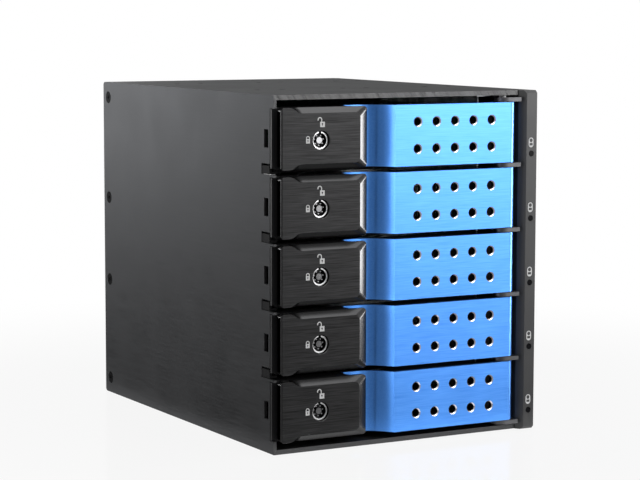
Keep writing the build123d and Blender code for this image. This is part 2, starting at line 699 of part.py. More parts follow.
def lock_barrel(z):
    """Keyed barrel: socket with a centre post, index notch at the top, and a cam on its tail."""
    lock_z = z - LOCK_DROP
    front = LEVER_FRONT + LOCK_RECESS
    barrel = disc(LOCK_X, lock_z, LOCK_RADIUS)
    socket = disc(LOCK_X, lock_z, LOCK_SOCKET_RADIUS) - disc(LOCK_X, lock_z, LOCK_POST_RADIUS)
    half = LOCK_INDEX / 2
    index = rect(LOCK_X - half, LOCK_X + half, lock_z + LOCK_SOCKET_RADIUS, lock_z + LOCK_RADIUS + CUT)
    body = upright(barrel, front, LOCK_BOSS_BACK + RUNNING_FIT)
    body -= upright(socket, front, front + LOCK_SOCKET_DEPTH)
    body -= upright(disc(LOCK_X, lock_z, LOCK_POST_RADIUS), front, front + LOCK_POST_DROP)
    body -= upright(index, front, front + LOCK_INDEX)
    body += upright(disc(LOCK_X, lock_z, CAM_STEM_RADIUS), LOCK_BOSS_BACK, CAM_FRONT + CAM_SHEET)
    reach = CAM_REACH - CAM_WIDTH / 2
    cam = Pos(LOCK_X + reach / 2, lock_z) * SlotCenterToCenter(reach, CAM_WIDTH)
    return body + upright(cam, CAM_FRONT, CAM_FRONT + CAM_SHEET)


def ejector_bar(z):
    """Sliding bar: a fork at the door's crank and a hook behind the drive."""
    top = z + EJECTOR_TOP
    bottom = top - EJECTOR_HEIGHT
    slot = FORK_SLOT / 2
    back_prong = CRANK_Y + slot
    bridge = HINGE_X - CRANK_RADIUS - CRANK_PIN_RADIUS - SEAT_GAP - FORK_PRONG
    right = HINGE_X - KNUCKLE_RADIUS - FORK_RIGHT_GAP
    hook_back = EJECTOR_HOOK + EJECTOR_SHEET
    fork = rect(bridge, right, CRANK_Y - slot - FORK_PRONG, back_prong + FORK_PRONG)
    fork -= rect(bridge + FORK_PRONG, right + CUT, CRANK_Y - slot, back_prong)
    bar = block(EJECTOR_LEFT, EJECTOR_RIGHT, back_prong, hook_back, bottom, top)
    bar += level(fork, top - EJECTOR_SHEET, top)
    tip = EJECTOR_RIGHT - EJECTOR_SHEET - EJECTOR_REACH
    return bar + block(tip, EJECTOR_RIGHT, EJECTOR_HOOK, hook_back, bottom, top)


def ejector_guides():
    """Clips on the inner wall that carry the ejector bars."""
    clips = []
    right = EJECTOR_RIGHT + SEAT_GAP
    for z in BAY_CENTRES:
        top = z + EJECTOR_TOP + SEAT_GAP
        bottom = z + EJECTOR_TOP - EJECTOR_HEIGHT - SEAT_GAP
        view = rect(WALL_RIGHT, right + GUIDE_WALL, bottom - GUIDE_WALL, top + GUIDE_WALL)
        view -= rect(WALL_RIGHT - CUT, right, bottom, top)
        for setback in GUIDE_SETBACKS:
            clips.append(upright(view, FRONT + setback, FRONT + setback + GUIDE_LENGTH))
    return clips


def indicator_strip():
    """Bezel strip: a sloped left flank and a flat face in front, a slimmer body inside the shell."""
    left = RIGHT - STRIP_WIDTH
    face_left = RIGHT - STRIP_FACE
    bezel = [
        (left, FRONT),
        (left, FACE_FRONT + STRIP_SLOPE),
        (face_left, FACE_FRONT),
        (RIGHT, FACE_FRONT),
        (RIGHT, FRONT),
    ]
    body = level(make_face(Polyline(*bezel, close=True)), 0, SHELL_HEIGHT)
    ends = body.edges().filter_by(Axis.X).group_by(Axis.Y)[0]
    body = chamfer(ends, STRIP_CHAMFER)
    body += block(left, RIGHT_IN, FRONT, FRONT + STRIP_DEPTH, FLOOR, CEILING)
    for z in BAY_CENTRES:
        hole = disc(RIGHT - PIPE_INSET, z - PIPE_DROP, PIPE_RADIUS + RUNNING_FIT)
        body -= upright(hole, FACE_FRONT - CUT, FRONT + STRIP_DEPTH)
    return body


def light_pipes():
    back = FRONT + STRIP_DEPTH - LAMP_HEIGHT
    x = RIGHT - PIPE_INSET
    return [upright(disc(x, z - PIPE_DROP, PIPE_RADIUS), FACE_FRONT, back) for z in BAY_CENTRES]


def indicator_lamps():
    x = RIGHT - PIPE_INSET
    back = FRONT + STRIP_DEPTH
    half = LAMP_SIZE / 2
    lamps = []
    for z in BAY_CENTRES:
        lamp_z = z - PIPE_DROP
        lamps.append(block(x - half, x + half, back - LAMP_HEIGHT, back, lamp_z - half, lamp_z + half))
    return lamps


def indicator_board():
    right = RIGHT_IN - SEAT_GAP
    front = FRONT + STRIP_DEPTH
    low = FLOOR + INDICATOR_BOARD_INSET
    high = CEILING - INDICATOR_BOARD_INSET
    return block(right - INDICATOR_BOARD_WIDTH, right, front, front + BOARD_SHEET, low, high)


def backplane_board():
    """Board across the rear of the bays, with air slots between the sockets."""
    side = REAR_SHEET + BOARD_MARGIN
    low = FLOOR + BOARD_MARGIN
    high = CEILING - BOARD_MARGIN
    body = block(LEFT_IN + side, RIGHT_IN - side, BOARD_FRONT, BOARD_BACK, low, high)
    left = LEFT_IN + SOCKET_LEFT + BOARD_SLOT_LEFT
    for z in BAY_CENTRES:
        slot = Pos(left + BOARD_SLOT_LENGTH / 2, z) * SlotOverall(BOARD_SLOT_LENGTH, BOARD_SLOT_HEIGHT)
        body -= upright(slot, BOARD_FRONT - CUT, BOARD_BACK + CUT)
    return body


def drive_sockets():
    """One receptacle per bay: a shell open to the front with a contact tongue."""
    sockets = []
    left = LEFT_IN + SOCKET_LEFT
    right = left + SOCKET_LENGTH
    front = BOARD_FRONT - SOCKET_DEPTH
    for z in BAY_CENTRES:
        low = z - SOCKET_HEIGHT / 2
        high = z + SOCKET_HEIGHT / 2
        pocket = rect(left + SOCKET_WALL, right - SOCKET_WALL, low + SOCKET_WALL, high - SOCKET_WALL)
        tongue_left = left + 2 * SOCKET_WALL
        tongue_right = right - 2 * SOCKET_WALL
        pocket -= rect(tongue_left, tongue_right, z - SOCKET_TONGUE / 2, z + SOCKET_TONGUE / 2)
        body = block(left, right, front, BOARD_FRONT, low, high)
        sockets.append(body - upright(pocket, front, front + SOCKET_POCKET))
    return sockets


def port_view(x, z, width, height, growth=0.0):
    return Pos(x, z) * Rectangle(width + 2 * growth, height + 2 * growth)


def data_port_places():
    return [(LEFT_IN + DATA_PORT_INSET, z) for z in BAY_CENTRES]


def power_places():
    return [(LEFT_IN + POWER_INSET, MIDDLE + side * BAY_PITCH) for side in (1, -1)]


def data_ports():
    """Shrouded plugs on the back of the board, one per bay."""
    ports = []
    for x, z in data_port_places():
        shell = port_view(x, z, DATA_PORT_WIDTH, DATA_PORT_HEIGHT)
        hollow = port_view(x, z, DATA_PORT_WIDTH, DATA_PORT_HEIGHT, -PORT_WALL)
        hollow -= port_view(x, z, PORT_WALL, DATA_PORT_HEIGHT, -2 * PORT_WALL / 3)
        body = upright(shell, BOARD_BACK, BOARD_BACK + DATA_PORT_DEPTH)
        ports.append(body - upright(hollow, BOARD_BACK + PORT_WALL, BOARD_BACK + DATA_PORT_DEPTH))
    return ports


def power_sockets():
    """Two four-way power sockets on the back of the board."""
    sockets = []
    for x, z in power_places():
        shell = port_view(x, z, POWER_WIDTH, POWER_HEIGHT)
        body = upright(shell, BOARD_BACK, BOARD_BACK + POWER_DEPTH)
        pitch = (POWER_HEIGHT - 2 * PORT_WALL) / POWER_PINS
        pins = Pos(x, z) * pattern(GridLocations(1, pitch, 1, POWER_PINS), Circle(POWER_PIN_RADIUS))
        sockets.append(body - upright(pins, BOARD_BACK + PORT_WALL, BOARD_BACK + POWER_DEPTH))
    return sockets


def board_standoffs():
    spacing_x = RIGHT_IN - LEFT_IN - 2 * (REAR_SHEET + STANDOFF_INSET)
    spacing_z = (CEILING - FLOOR - 2 * STANDOFF_INSET) / (STANDOFF_ROWS - 1)
    posts = []
    for place in GridLocations(spacing_x, spacing_z, 2, STANDOFF_ROWS):
        hexagon = Pos(place.position.X, place.position.Y + MIDDLE) * RegularPolygon(STANDOFF_RADIUS, 6)
        posts.append(upright(hexagon, BOARD_BACK, REAR_IN))
    return posts


def grille_view():
    """Ring slots in front of the fan, split by spokes."""
    step = (FAN_BORE - GRILLE_CENTRE) / GRILLE_RINGS
    slots = Sketch()
    for k in range(GRILLE_RINGS):
        outer = GRILLE_CENTRE + (k + 1) * step - GRILLE_BAR / 2
        slots += Circle(outer) - Circle(outer - step + GRILLE_BAR)
    spoke = Rectangle(2 * FAN_BORE, GRILLE_BAR)
    for k in range(GRILLE_SPOKES // 2):
        slots -= Rot(0, 0, 45 + 90 * k) * spoke
    return Pos(FAN_X, MIDDLE) * slots


def fan_holes_view(radius):
    corners = GridLocations(FAN_HOLE_PITCH, FAN_HOLE_PITCH, 2, 2)
    return Pos(FAN_X, MIDDLE) * pattern(corners, Circle(radius))


def rear_panel():
    """Rear sheet with the fan grille and connector cut-outs, flanged forward for the side screws."""
    low = FLOOR + SEAT_GAP
    high = CEILING - SEAT_GAP
    view = rect(LEFT_IN, RIGHT_IN, low, high)
    view -= grille_view()
    view -= fan_holes_view(FAN_SCREW_RADIUS + PIN_FIT)
    for x, z in data_port_places():
        view -= port_view(x, z, DATA_PORT_WIDTH, DATA_PORT_HEIGHT, PORT_CLEARANCE)
    for x, z in power_places():
        view -= port_view(x, z, POWER_WIDTH, POWER_HEIGHT, PORT_CLEARANCE)
    body = upright(view, REAR_IN, BACK)
    start = BACK - REAR_FLANGE
    body += block(LEFT_IN, LEFT_IN + REAR_SHEET, start, REAR_IN, low, high)
    body += block(RIGHT_IN - REAR_SHEET, RIGHT_IN, start, REAR_IN, low, high)
    return body - side_screws(-1, RUNNING_FIT) - side_screws(1, RUNNING_FIT)


def fan_flange_view():
    """Square flange of the fan, seen along its axis."""
    square = RectangleRounded(FAN_SIZE, FAN_SIZE, FAN_CORNER)
    return Pos(FAN_X, MIDDLE) * (square - Circle(FAN_BORE)) - fan_holes_view(FAN_HOLE_RADIUS)


def fan_front_flange():
    return upright(fan_flange_view(), BACK, BACK + FAN_FLANGE)


def fan_shroud():
    """Round wall between the flanges."""
    ring = Pos(FAN_X, MIDDLE) * (Circle(FAN_BORE + FAN_SHROUD) - Circle(FAN_BORE))
    return upright(ring, BACK + FAN_FLANGE, FAN_BACK - FAN_FLANGE)


def fan_frame():
    """Rear flange with struts that carry the motor mount and its bearing tube."""
    mount = Circle(FAN_HUB_RADIUS)
    for k in range(FAN_STRUTS // 2):
        mount += Rot(0, 0, 45 + 90 * k) * Rectangle(2 * FAN_BORE + FAN_SHROUD, FAN_STRUT_WIDTH)
    tube = Circle(FAN_TUBE_RADIUS) - Circle(FAN_SHAFT_RADIUS + RUNNING_FIT)
    rear = FAN_BACK - FAN_FLANGE
    tube_front = BACK + FAN_AXIAL_GAP + FAN_CUP_WALL + FAN_AXIAL_GAP
    body = upright(fan_flange_view(), rear, FAN_BACK)
    body += upright(Pos(FAN_X, MIDDLE) * mount, rear, FAN_BACK)
    return body + upright(Pos(FAN_X, MIDDLE) * tube, tube_front, rear)


def fan_blade(y):
    """One twisted blade, lofted from inside the hub's wall to the tip."""
    root = FAN_HUB_RADIUS - FAN_CUP_WALL / 2
    tip = FAN_BORE - FAN_TIP_GAP
    sections = []
    for radius, pitch in ((root, FAN_ROOT_PITCH), (tip, FAN_TIP_PITCH)):
        plane = Plane(origin=(FAN_X, y, MIDDLE + radius), x_dir=(1, 0, 0), z_dir=(0, 0, 1))
        chord = FAN_BLADE_CHORD / math.cos(math.radians(FAN_ROOT_PITCH - pitch))
        sections.append(plane * (Rot(0, 0, pitch) * Rectangle(chord, FAN_BLADE_WALL)))
    return loft(sections)


def fan_rotor():
    """Cup with a shaft and swept blades."""
    front = BACK + FAN_AXIAL_GAP
    rear = FAN_BACK - FAN_FLANGE - FAN_AXIAL_GAP
    axis = Axis((FAN_X, 0, MIDDLE), (0, 1, 0))
    centre = Pos(FAN_X, MIDDLE)
    cup = Circle(FAN_HUB_RADIUS) - Circle(FAN_HUB_RADIUS - FAN_CUP_WALL)
    body = upright(centre * Circle(FAN_HUB_RADIUS), front, front + FAN_CUP_WALL)
    body += upright(centre * cup, front + FAN_CUP_WALL, rear)
    body += upright(centre * Circle(FAN_SHAFT_RADIUS), front + FAN_CUP_WALL, rear)
    blade = fan_blade((front + rear) / 2)
    for k in range(FAN_BLADES):
        body += blade.rotate(axis, k * 360 / FAN_BLADES)
    return body


def fan_screws():
    screws = []
    for place in GridLocations(FAN_HOLE_PITCH, FAN_HOLE_PITCH, 2, 2):
        x = FAN_X + place.position.X
        z = MIDDLE + place.position.Y
        shank = upright(disc(x, z, FAN_SCREW_RADIUS), REAR_IN, FAN_BACK)
        head = upright(disc(x, z, FAN_SCREW_HEAD_RADIUS), FAN_BACK, FAN_BACK + FAN_SCREW_HEAD)
        screws.append(shank + head)
    return screws


def save(name, shape):
    """Write one node; a list of separate solids becomes one group."""
    if isinstance(shape, list):
        shape = Compound(children=shape)
    export_step(shape, f"parts/{name}.step")


def main():
    os.makedirs("parts", exist_ok=True)
    save("left_side_panel", left_side_panel())
    save("right_side_panel", right_side_panel())
    save("top_plate", plate(CEILING, SHELL_HEIGHT))
    save("bottom_plate", plate(0, FLOOR))
    save("rear_panel", rear_panel())
    save("inner_wall", inner_wall())
    save("bay_shelves", bay_shelves())
    save("panel_screws", side_screws(-1) + side_screws(1))
    save("hinge_bracket", hinge_bracket())
    save("hinge_rod", hinge_rod())
    save("ejector_guides", ejector_guides())
    save("indicator_strip", indicator_strip())
    save("light_pipes", light_pipes())
    save("indicator_lamps", indicator_lamps())
    save("indicator_board", indicator_board())
    save("backplane_board", backplane_board())
    save("drive_sockets", drive_sockets())
    save("data_ports", data_ports())
    save("power_sockets", power_sockets())
    save("board_standoffs", board_standoffs())
    save("fan_front_flange", fan_front_flange())
    save("fan_shroud", fan_shroud())
    save("fan_frame", fan_frame())
    save("fan_rotor", fan_rotor())
    save("fan_screws", fan_screws())
    for number, z in enumerate(BAY_CENTRES, start=1):
        save(f"door_frame_{number}", door_frame(z))
        save(f"face_plate_{number}", face_plate(z))
        save(f"latch_lever_{number}", latch_lever(z))
        save(f"latch_pin_{number}", latch_pin(z))
        save(f"latch_spring_{number}", latch_spring(z))
        save(f"lock_barrel_{number}", lock_barrel(z))
        save(f"ejector_bar_{number}", ejector_bar(z))


main()
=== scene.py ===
"""Looks of a hot swap drive cage: finishes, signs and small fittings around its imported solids."""

import json
import logging
import math
from contextlib import contextmanager
from dataclasses import dataclass
from enum import Enum
from typing import Any, Iterable, Iterator, Sequence

import bpy
from bpy.types import Material, Node, NodeSocket, NodeTree, Object
from mathutils import Matrix, Vector

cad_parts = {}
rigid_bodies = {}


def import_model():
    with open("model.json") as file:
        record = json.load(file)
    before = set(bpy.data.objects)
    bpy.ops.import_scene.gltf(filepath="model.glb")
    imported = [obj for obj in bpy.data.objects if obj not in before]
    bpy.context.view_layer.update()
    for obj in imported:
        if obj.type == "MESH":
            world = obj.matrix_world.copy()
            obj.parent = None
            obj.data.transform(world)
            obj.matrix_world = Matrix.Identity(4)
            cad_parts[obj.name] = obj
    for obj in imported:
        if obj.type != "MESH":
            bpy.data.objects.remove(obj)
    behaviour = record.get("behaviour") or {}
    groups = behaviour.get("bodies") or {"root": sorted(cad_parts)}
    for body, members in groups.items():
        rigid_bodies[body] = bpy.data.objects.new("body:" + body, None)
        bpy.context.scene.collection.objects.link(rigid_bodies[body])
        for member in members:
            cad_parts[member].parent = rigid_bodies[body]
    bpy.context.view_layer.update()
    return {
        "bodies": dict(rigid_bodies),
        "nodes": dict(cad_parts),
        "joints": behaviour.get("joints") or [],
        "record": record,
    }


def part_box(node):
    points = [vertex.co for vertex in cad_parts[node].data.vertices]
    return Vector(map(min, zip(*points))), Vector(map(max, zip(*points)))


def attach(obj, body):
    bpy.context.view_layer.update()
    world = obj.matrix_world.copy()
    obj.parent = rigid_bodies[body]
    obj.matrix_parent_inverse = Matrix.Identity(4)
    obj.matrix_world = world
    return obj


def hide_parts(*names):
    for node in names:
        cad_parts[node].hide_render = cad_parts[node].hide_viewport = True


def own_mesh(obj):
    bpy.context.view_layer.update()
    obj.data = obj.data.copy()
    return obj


LOG = logging.getLogger("drive_cage")
MM = 0.001
BAYS = range(1, 6)
MERGE_DISTANCE = 1e-7
SMOOTH_ANGLE = math.radians(35)
Pair = tuple[float, float]
Triple = tuple[float, float, float]
Colour = Triple
Area = tuple[NodeSocket, Any, float]


class Brush(Enum):
    """Direction of a brushed surface's strokes, as the stretch of its grain on X, Y and Z."""

    ALONG_X = (95.0, 5200.0, 5200.0)
    ALONG_Y = (5200.0, 70.0, 5200.0)

    def direction(self) -> Triple:
        """Return the strokes' direction, which is the axis of least stretch."""
        return tuple(float(value == min(self.value)) for value in self.value)


class Facing(Enum):
    """Turn in degrees about an axis that takes a fitting built along +Z to the way it points."""

    LEFT = (-90.0, "Y")
    RIGHT = (90.0, "Y")
    FRONT = (90.0, "X")
    BACK = (-90.0, "X")

    def matrix(self) -> Matrix:
        """Return the turn as a 4 x 4 matrix."""
        angle, axis = self.value
        return Matrix.Rotation(math.radians(angle), 4, axis)


class NodeGraph:
    """Adds and joins nodes in one shader tree."""

    def __init__(self, tree: NodeTree) -> None:
        """Start on a material's, world's or group's node tree."""
        self.tree = tree

    def join(self, source: Any, target: NodeSocket) -> None:
        """Link a socket to another, or set a plain value on it.

        Args:
            source: An output socket, a number or a sequence of numbers.
            target: The input socket.
        """
        if isinstance(source, NodeSocket):
            self.tree.links.new(source, target)
        else:
            target.default_value = source

    def add(self, kind: str, *values: Any, **settings: Any) -> Node:
        """Add a node, set its properties and join values to its inputs.

        Args:
            kind: Blender's node type name.
            *values: Sockets or plain values for the inputs, in their order.
            **settings: Properties of the node and their values.

        Returns:
            The new node.
        """
        node = self.tree.nodes.new(kind)
        for name, value in settings.items():
            setattr(node, name, value)
        for value, target in zip(values, node.inputs):
            self.join(value, target)
        return node

    def maths(self, operation: str, first: Any, second: Any = 0.0, third: Any = 0.0) -> NodeSocket:
        """Return the result of a math node on values or sockets."""
        return self.add("ShaderNodeMath", first, second, third, operation=operation).outputs[0]

    def span(self, value: NodeSocket, low: float, high: float) -> NodeSocket:
        """Return a value that runs from 0 to 1, spread from low to high."""
        return self.maths("MULTIPLY_ADD", value, high - low, low)

    def blend(self, mask: Any, low: Any, high: Any) -> NodeSocket:
        """Mix two colours by a mask.

        Args:
            mask: Share of the second colour.
            low: Colour where the mask is 0.
            high: Colour where the mask is 1.

        Returns:
            The mixed colour.
        """
        node = self.add("ShaderNodeMix", mask, data_type="RGBA")
        colours = [socket for socket in (*node.inputs, *node.outputs) if socket.type == "RGBA"]
        for value, target in zip((low, high), colours):
            self.join((*value, 1.0) if isinstance(value, tuple) else value, target)
        return colours[-1]

    def noise(self, place: NodeSocket, scale: Any, detail: float) -> NodeSocket:
        """Add a noise texture.

        Args:
            place: Coordinates to read.
            scale: Repeats per metre.
            detail: Octaves of finer noise.

        Returns:
            The noise value.
        """
        node = self.add("ShaderNodeTexNoise", place)
        self.join(scale, node.inputs["Scale"])
        self.join(detail, node.inputs["Detail"])
        return node.outputs["Fac"]


@dataclass
class GroupShelf:
    """Shader node groups that several finishes share, each built once."""

    broad_scale: float = 0.35
    broad_detail: float = 3.0
    broad_share: float = 0.3
    fine_scale: float = 1.0
    fine_detail: float = 6.0
    fine_share: float = 0.7
    stroke_gain: float = 2.4
    stroke_offset: float = -0.7
    tone_scale: float = 90.0
    skin_detail: float = 4.0
    mark_detail: float = 5.0
    mark_top: float = 0.62
    mark_soft: float = 0.1

    def __post_init__(self) -> None:
        """Build the groups."""
        self.brushed = self._brushed()
        self.moulded = self._moulded()
        self.handled = self._handled()

    @staticmethod
    def _blank(
        name: str, numbers: Sequence[str], results: Sequence[str]
    ) -> tuple[NodeTree, NodeGraph, Sequence[NodeSocket], Sequence[NodeSocket]]:
        """Make an empty group with a place input, number inputs and value outputs.

        Args:
            name: Name of the group.
            numbers: Names of its number inputs.
            results: Names of its value outputs.

        Returns:
            The group, its graph, what comes in and what goes out.
        """
        group = bpy.data.node_groups.new(name, "ShaderNodeTree")
        group.interface.new_socket("Place", in_out="INPUT", socket_type="NodeSocketVector")
        for names, side in ((numbers, "INPUT"), (results, "OUTPUT")):
            for number in names:
                group.interface.new_socket(number, in_out=side, socket_type="NodeSocketFloat")
        graph = NodeGraph(group)
        return group, graph, graph.add("NodeGroupInput").outputs, graph.add("NodeGroupOutput").inputs

    def _brushed(self) -> NodeTree:
        """Return the group of long fine strokes, stretched per axis."""
        axes = ("Stretch X", "Stretch Y", "Stretch Z")
        group, graph, source, sink = self._blank("Brushed strokes", axes, ("Stroke", "Height"))
        stretch = graph.add("ShaderNodeCombineXYZ", *(source[axis] for axis in axes)).outputs[0]
        place = graph.add("ShaderNodeVectorMath", source["Place"], stretch, operation="MULTIPLY").outputs[0]
        broad = graph.noise(place, self.broad_scale, self.broad_detail)
        fine = graph.noise(place, self.fine_scale, self.fine_detail)
        coarse = graph.maths("MULTIPLY", broad, self.broad_share)
        stroke = graph.maths("ADD", coarse, graph.maths("MULTIPLY", fine, self.fine_share))
        stroke = graph.maths("MULTIPLY_ADD", stroke, self.stroke_gain, self.stroke_offset)
        graph.join(stroke, sink["Stroke"])
        graph.join(fine, sink["Height"])
        return group

    def _moulded(self) -> NodeTree:
        """Return the group of the fine skin that moulded plastic takes from its tool."""
        group, graph, source, sink = self._blank("Moulded skin", ("Grain",), ("Tone", "Height"))
        for scale, target in ((self.tone_scale, sink["Tone"]), (source["Grain"], sink["Height"])):
            graph.join(graph.noise(source["Place"], scale, self.skin_detail), target)
        return group

    def _handled(self) -> NodeTree:
        """Return the group of soft marks left by handling, which dull a surface in patches."""
        group, graph, source, sink = self._blank("Handling marks", ("Patch",), ("Mark",))
        patches = graph.noise(source["Place"], source["Patch"], self.mark_detail)
        graph.join(graph.maths("SMOOTH_MIN", patches, self.mark_top, self.mark_soft), sink["Mark"])
        return group


class MaterialGraph(NodeGraph):
    """Node tree of a new material."""

    def __init__(self, name: str) -> None:
        """Make the material.

        Args:
            name: Name of the material.
        """
        self.material = bpy.data.materials.new(name)
        self.material.use_nodes = True
        super().__init__(self.material.node_tree)


class Finish(MaterialGraph):
    """Material with a Principled shader that reads Object coordinates."""

    def __init__(self, name: str, groups: GroupShelf) -> None:
        """Make the material.

        Args:
            name: Name of the material.
            groups: The shared node groups.
        """
        super().__init__(name)
        self.groups = groups
        self.shader = self.tree.nodes["Principled BSDF"]
        self.place = self.add("ShaderNodeTexCoord").outputs["Object"]

    def put(self, **sockets: Any) -> None:
        """Link or set sockets of the shader.

        Args:
            **sockets: Names, with underscores for spaces, and for each a socket, a number or a colour.
        """
        for name, value in sockets.items():
            target = self.shader.inputs[name.replace("_", " ")]
            if isinstance(value, tuple) and target.type == "RGBA":
                value = (*value, 1.0)
            self.join(value, target)

    def axes(self) -> Sequence[NodeSocket]:
        """Return the X, Y and Z of the coordinates."""
        return list(self.add("ShaderNodeSeparateXYZ", self.place).outputs)

    def group(self, tree: NodeTree, *numbers: float) -> Sequence[NodeSocket]:
        """Place a shared group, set its number inputs in their order and return its outputs."""
        return self.add("ShaderNodeGroup", self.place, *numbers, node_tree=tree).outputs

    def bump(self, height: NodeSocket, depth: float, strength: float) -> None:
        """Give the surface a relief.

        Args:
            height: Height from 0 to 1.
            depth: Depth of the relief in millimetres.
            strength: How much of it shows.
        """
        node = self.add("ShaderNodeBump")
        for name, value in (("Distance", depth * MM), ("Strength", strength), ("Height", height)):
            self.join(value, node.inputs[name])
        self.put(Normal=node.outputs["Normal"])


@dataclass(frozen=True)
class FinishSpec:
    """Base of the finishes: what a material is called and how its shader is set."""

    name: str

    def paint(self, finish: Finish) -> None:
        """Set the sockets of a material's shader."""
        raise NotImplementedError


@dataclass(frozen=True)
class BrushedAnodised(FinishSpec):
    """Brushed aluminium under a dyed anodic layer."""

    dark: Colour
    light: Colour
    brush: Brush
    metallic: float
    roughness: float
    spread: float = 0.6
    spread_turn: float = 0.25
    stroke_depth: float = 0.012
    relief: float = 0.35
    edge_tint: Colour = (1.0, 1.0, 1.0)
    coat: float = 0.0
    coat_roughness: float = 0.25
    patch: float = 45.0
    polish: float = 0.1
    mark_dulling: float = 0.12
    stroke_dulling: float = 0.1

    def worked(self, finish: Finish) -> Area | None:
        """Return the mask, colour and roughness of an area that is worked otherwise, if there is one."""
        return None

    def paint(self, finish: Finish) -> None:
        """Lay the strokes over the whole surface but the worked area.

        Args:
            finish: The material to work on.
        """
        strokes = finish.group(finish.groups.brushed, *self.brush.value)
        mark = finish.group(finish.groups.handled, self.patch)["Mark"]
        colour = finish.blend(strokes["Stroke"], self.dark, self.light)
        tone = finish.maths("MULTIPLY_ADD", mark, self.mark_dulling, self.roughness - self.polish)
        rough = finish.maths("MULTIPLY_ADD", strokes["Stroke"], self.stroke_dulling, tone)
        height = strokes["Height"]
        area = self.worked(finish)
        if area:
            mask, shade, smooth = area
            colour = finish.blend(mask, colour, shade)
            left = finish.maths("SUBTRACT", 1.0, mask)
            rough = finish.maths("MULTIPLY_ADD", mask, smooth, finish.maths("MULTIPLY", left, rough))
            height = finish.maths("MULTIPLY", left, height)
        stroke = finish.add("ShaderNodeCombineXYZ", *self.brush.direction()).outputs[0]
        spaces = {"convert_from": "OBJECT", "convert_to": "WORLD"}
        finish.put(
            Base_Color=colour,
            Roughness=rough,
            Metallic=self.metallic,
            Specular_Tint=self.edge_tint,
            Anisotropic=self.spread,
            Anisotropic_Rotation=self.spread_turn,
            Coat_Weight=self.coat,
            Coat_Roughness=self.coat_roughness,
            Tangent=finish.add("ShaderNodeVectorTransform", stroke, **spaces).outputs[0],
        )
        finish.bump(height, self.stroke_depth, self.relief)


@dataclass(frozen=True)
class VentedAnodised(BrushedAnodised):
    """Brushed face whose countersunk vents are cut bright after dyeing, with painted shade on their bore
    walls.
    """

    bright: Colour = (0.88, 0.86, 0.9)
    # inside: near black painted shade on the vents' bore walls
    inside: Colour = (0.012, 0.014, 0.02)
    vent_roughness: float = 0.16
    first_x: float = 3.0
    pitch_x: float = 9.1
    columns: int = 5
    row: float = 5.6
    middle_z: float = 73.0
    bay_pitch: float = 27.7
    rim: float = 2.13
    bore: float = 1.72

    def worked(self, finish: Finish) -> Area | None:
        """Return the vents as the area that is worked otherwise: the bright countersinks, and the bore walls
        in painted shade.

        Args:
            finish: The material to work on.

        Returns:
            The mask, colour and roughness of the area.
        """
        x, _, z = finish.axes()

        def nearest(value: NodeSocket, first: float, pitch: float) -> NodeSocket:
            """Return the distance from the nearest of many evenly spaced places."""
            half = pitch / 2 * MM
            return finish.maths("WRAP", finish.maths("SUBTRACT", value, first * MM), half, -half)

        across = nearest(x, self.first_x, self.pitch_x)
        level = nearest(z, self.middle_z, self.bay_pitch)
        up = finish.maths("SUBTRACT", finish.maths("ABSOLUTE", level), self.row * MM)
        square = finish.maths("MULTIPLY_ADD", across, across, finish.maths("MULTIPLY", up, up))
        radius = finish.maths("SQRT", square)
        near = finish.maths("LESS_THAN", radius, self.rim * MM)
        outside = finish.maths("GREATER_THAN", radius, self.bore * MM)
        first = finish.maths("GREATER_THAN", x, (self.first_x - self.pitch_x / 2) * MM)
        last = finish.maths("LESS_THAN", x, (self.first_x + (self.columns - 0.5) * self.pitch_x) * MM)
        mask = finish.maths("MULTIPLY", near, finish.maths("MULTIPLY", first, last))
        # Within the bore radius the colour is painted shade; outside it is the bright cut metal.
        return mask, finish.blend(outside, self.inside, self.bright), self.vent_roughness


@dataclass(frozen=True)
class PadAnodised(BrushedAnodised):
    """Brushed pad whose bevels and rounded end are smooth and glossy."""

    front: float = -88.3
    skin: float = 0.04
    smooth: Colour = (0.04, 0.04, 0.041)
    smooth_roughness: float = 0.18

    def worked(self, finish: Finish) -> Area | None:
        """Return all that lies behind the pad's flat as the smooth area."""
        mask = finish.maths("GREATER_THAN", finish.axes()[1], (self.front + self.skin) * MM)
        return mask, self.smooth, self.smooth_roughness


@dataclass(frozen=True)
class ShellAnodised(BrushedAnodised):
    """Brushed sheet. The top plate's front edge is bare and shows the slanted marks of the saw."""

    front: float = -85.0
    skin: float = 0.05
    plate: float = 144.0
    slant: float = 0.7
    marks: float = 1900.0
    mark_detail: float = 2.0
    mark_gain: float = 6.0
    mark_offset: float = -2.3
    bare: Colour = (0.16, 0.16, 0.16)
    bare_roughness: float = 0.5

    def worked(self, finish: Finish) -> Area | None:
        """Return the bare metal between the saw's dark marks as the worked area.

        Args:
            finish: The material to work on.

        Returns:
            The mask, colour and roughness of the area.
        """
        x, y, z = finish.axes()
        edge = finish.maths("LESS_THAN", y, (self.front + self.skin) * MM)
        edge = finish.maths("MULTIPLY", edge, finish.maths("GREATER_THAN", z, self.plate * MM))
        slanted = finish.maths("MULTIPLY_ADD", z, self.slant, x)
        across = finish.add("ShaderNodeCombineXYZ", slanted).outputs[0]
        cut = finish.noise(across, self.marks, self.mark_detail)
        clean = finish.maths("MULTIPLY_ADD", cut, self.mark_gain, self.mark_offset)
        clean = finish.maths("MINIMUM", finish.maths("MAXIMUM", clean, 0.0), 1.0)
        return finish.maths("MULTIPLY", edge, clean), self.bare, self.bare_roughness


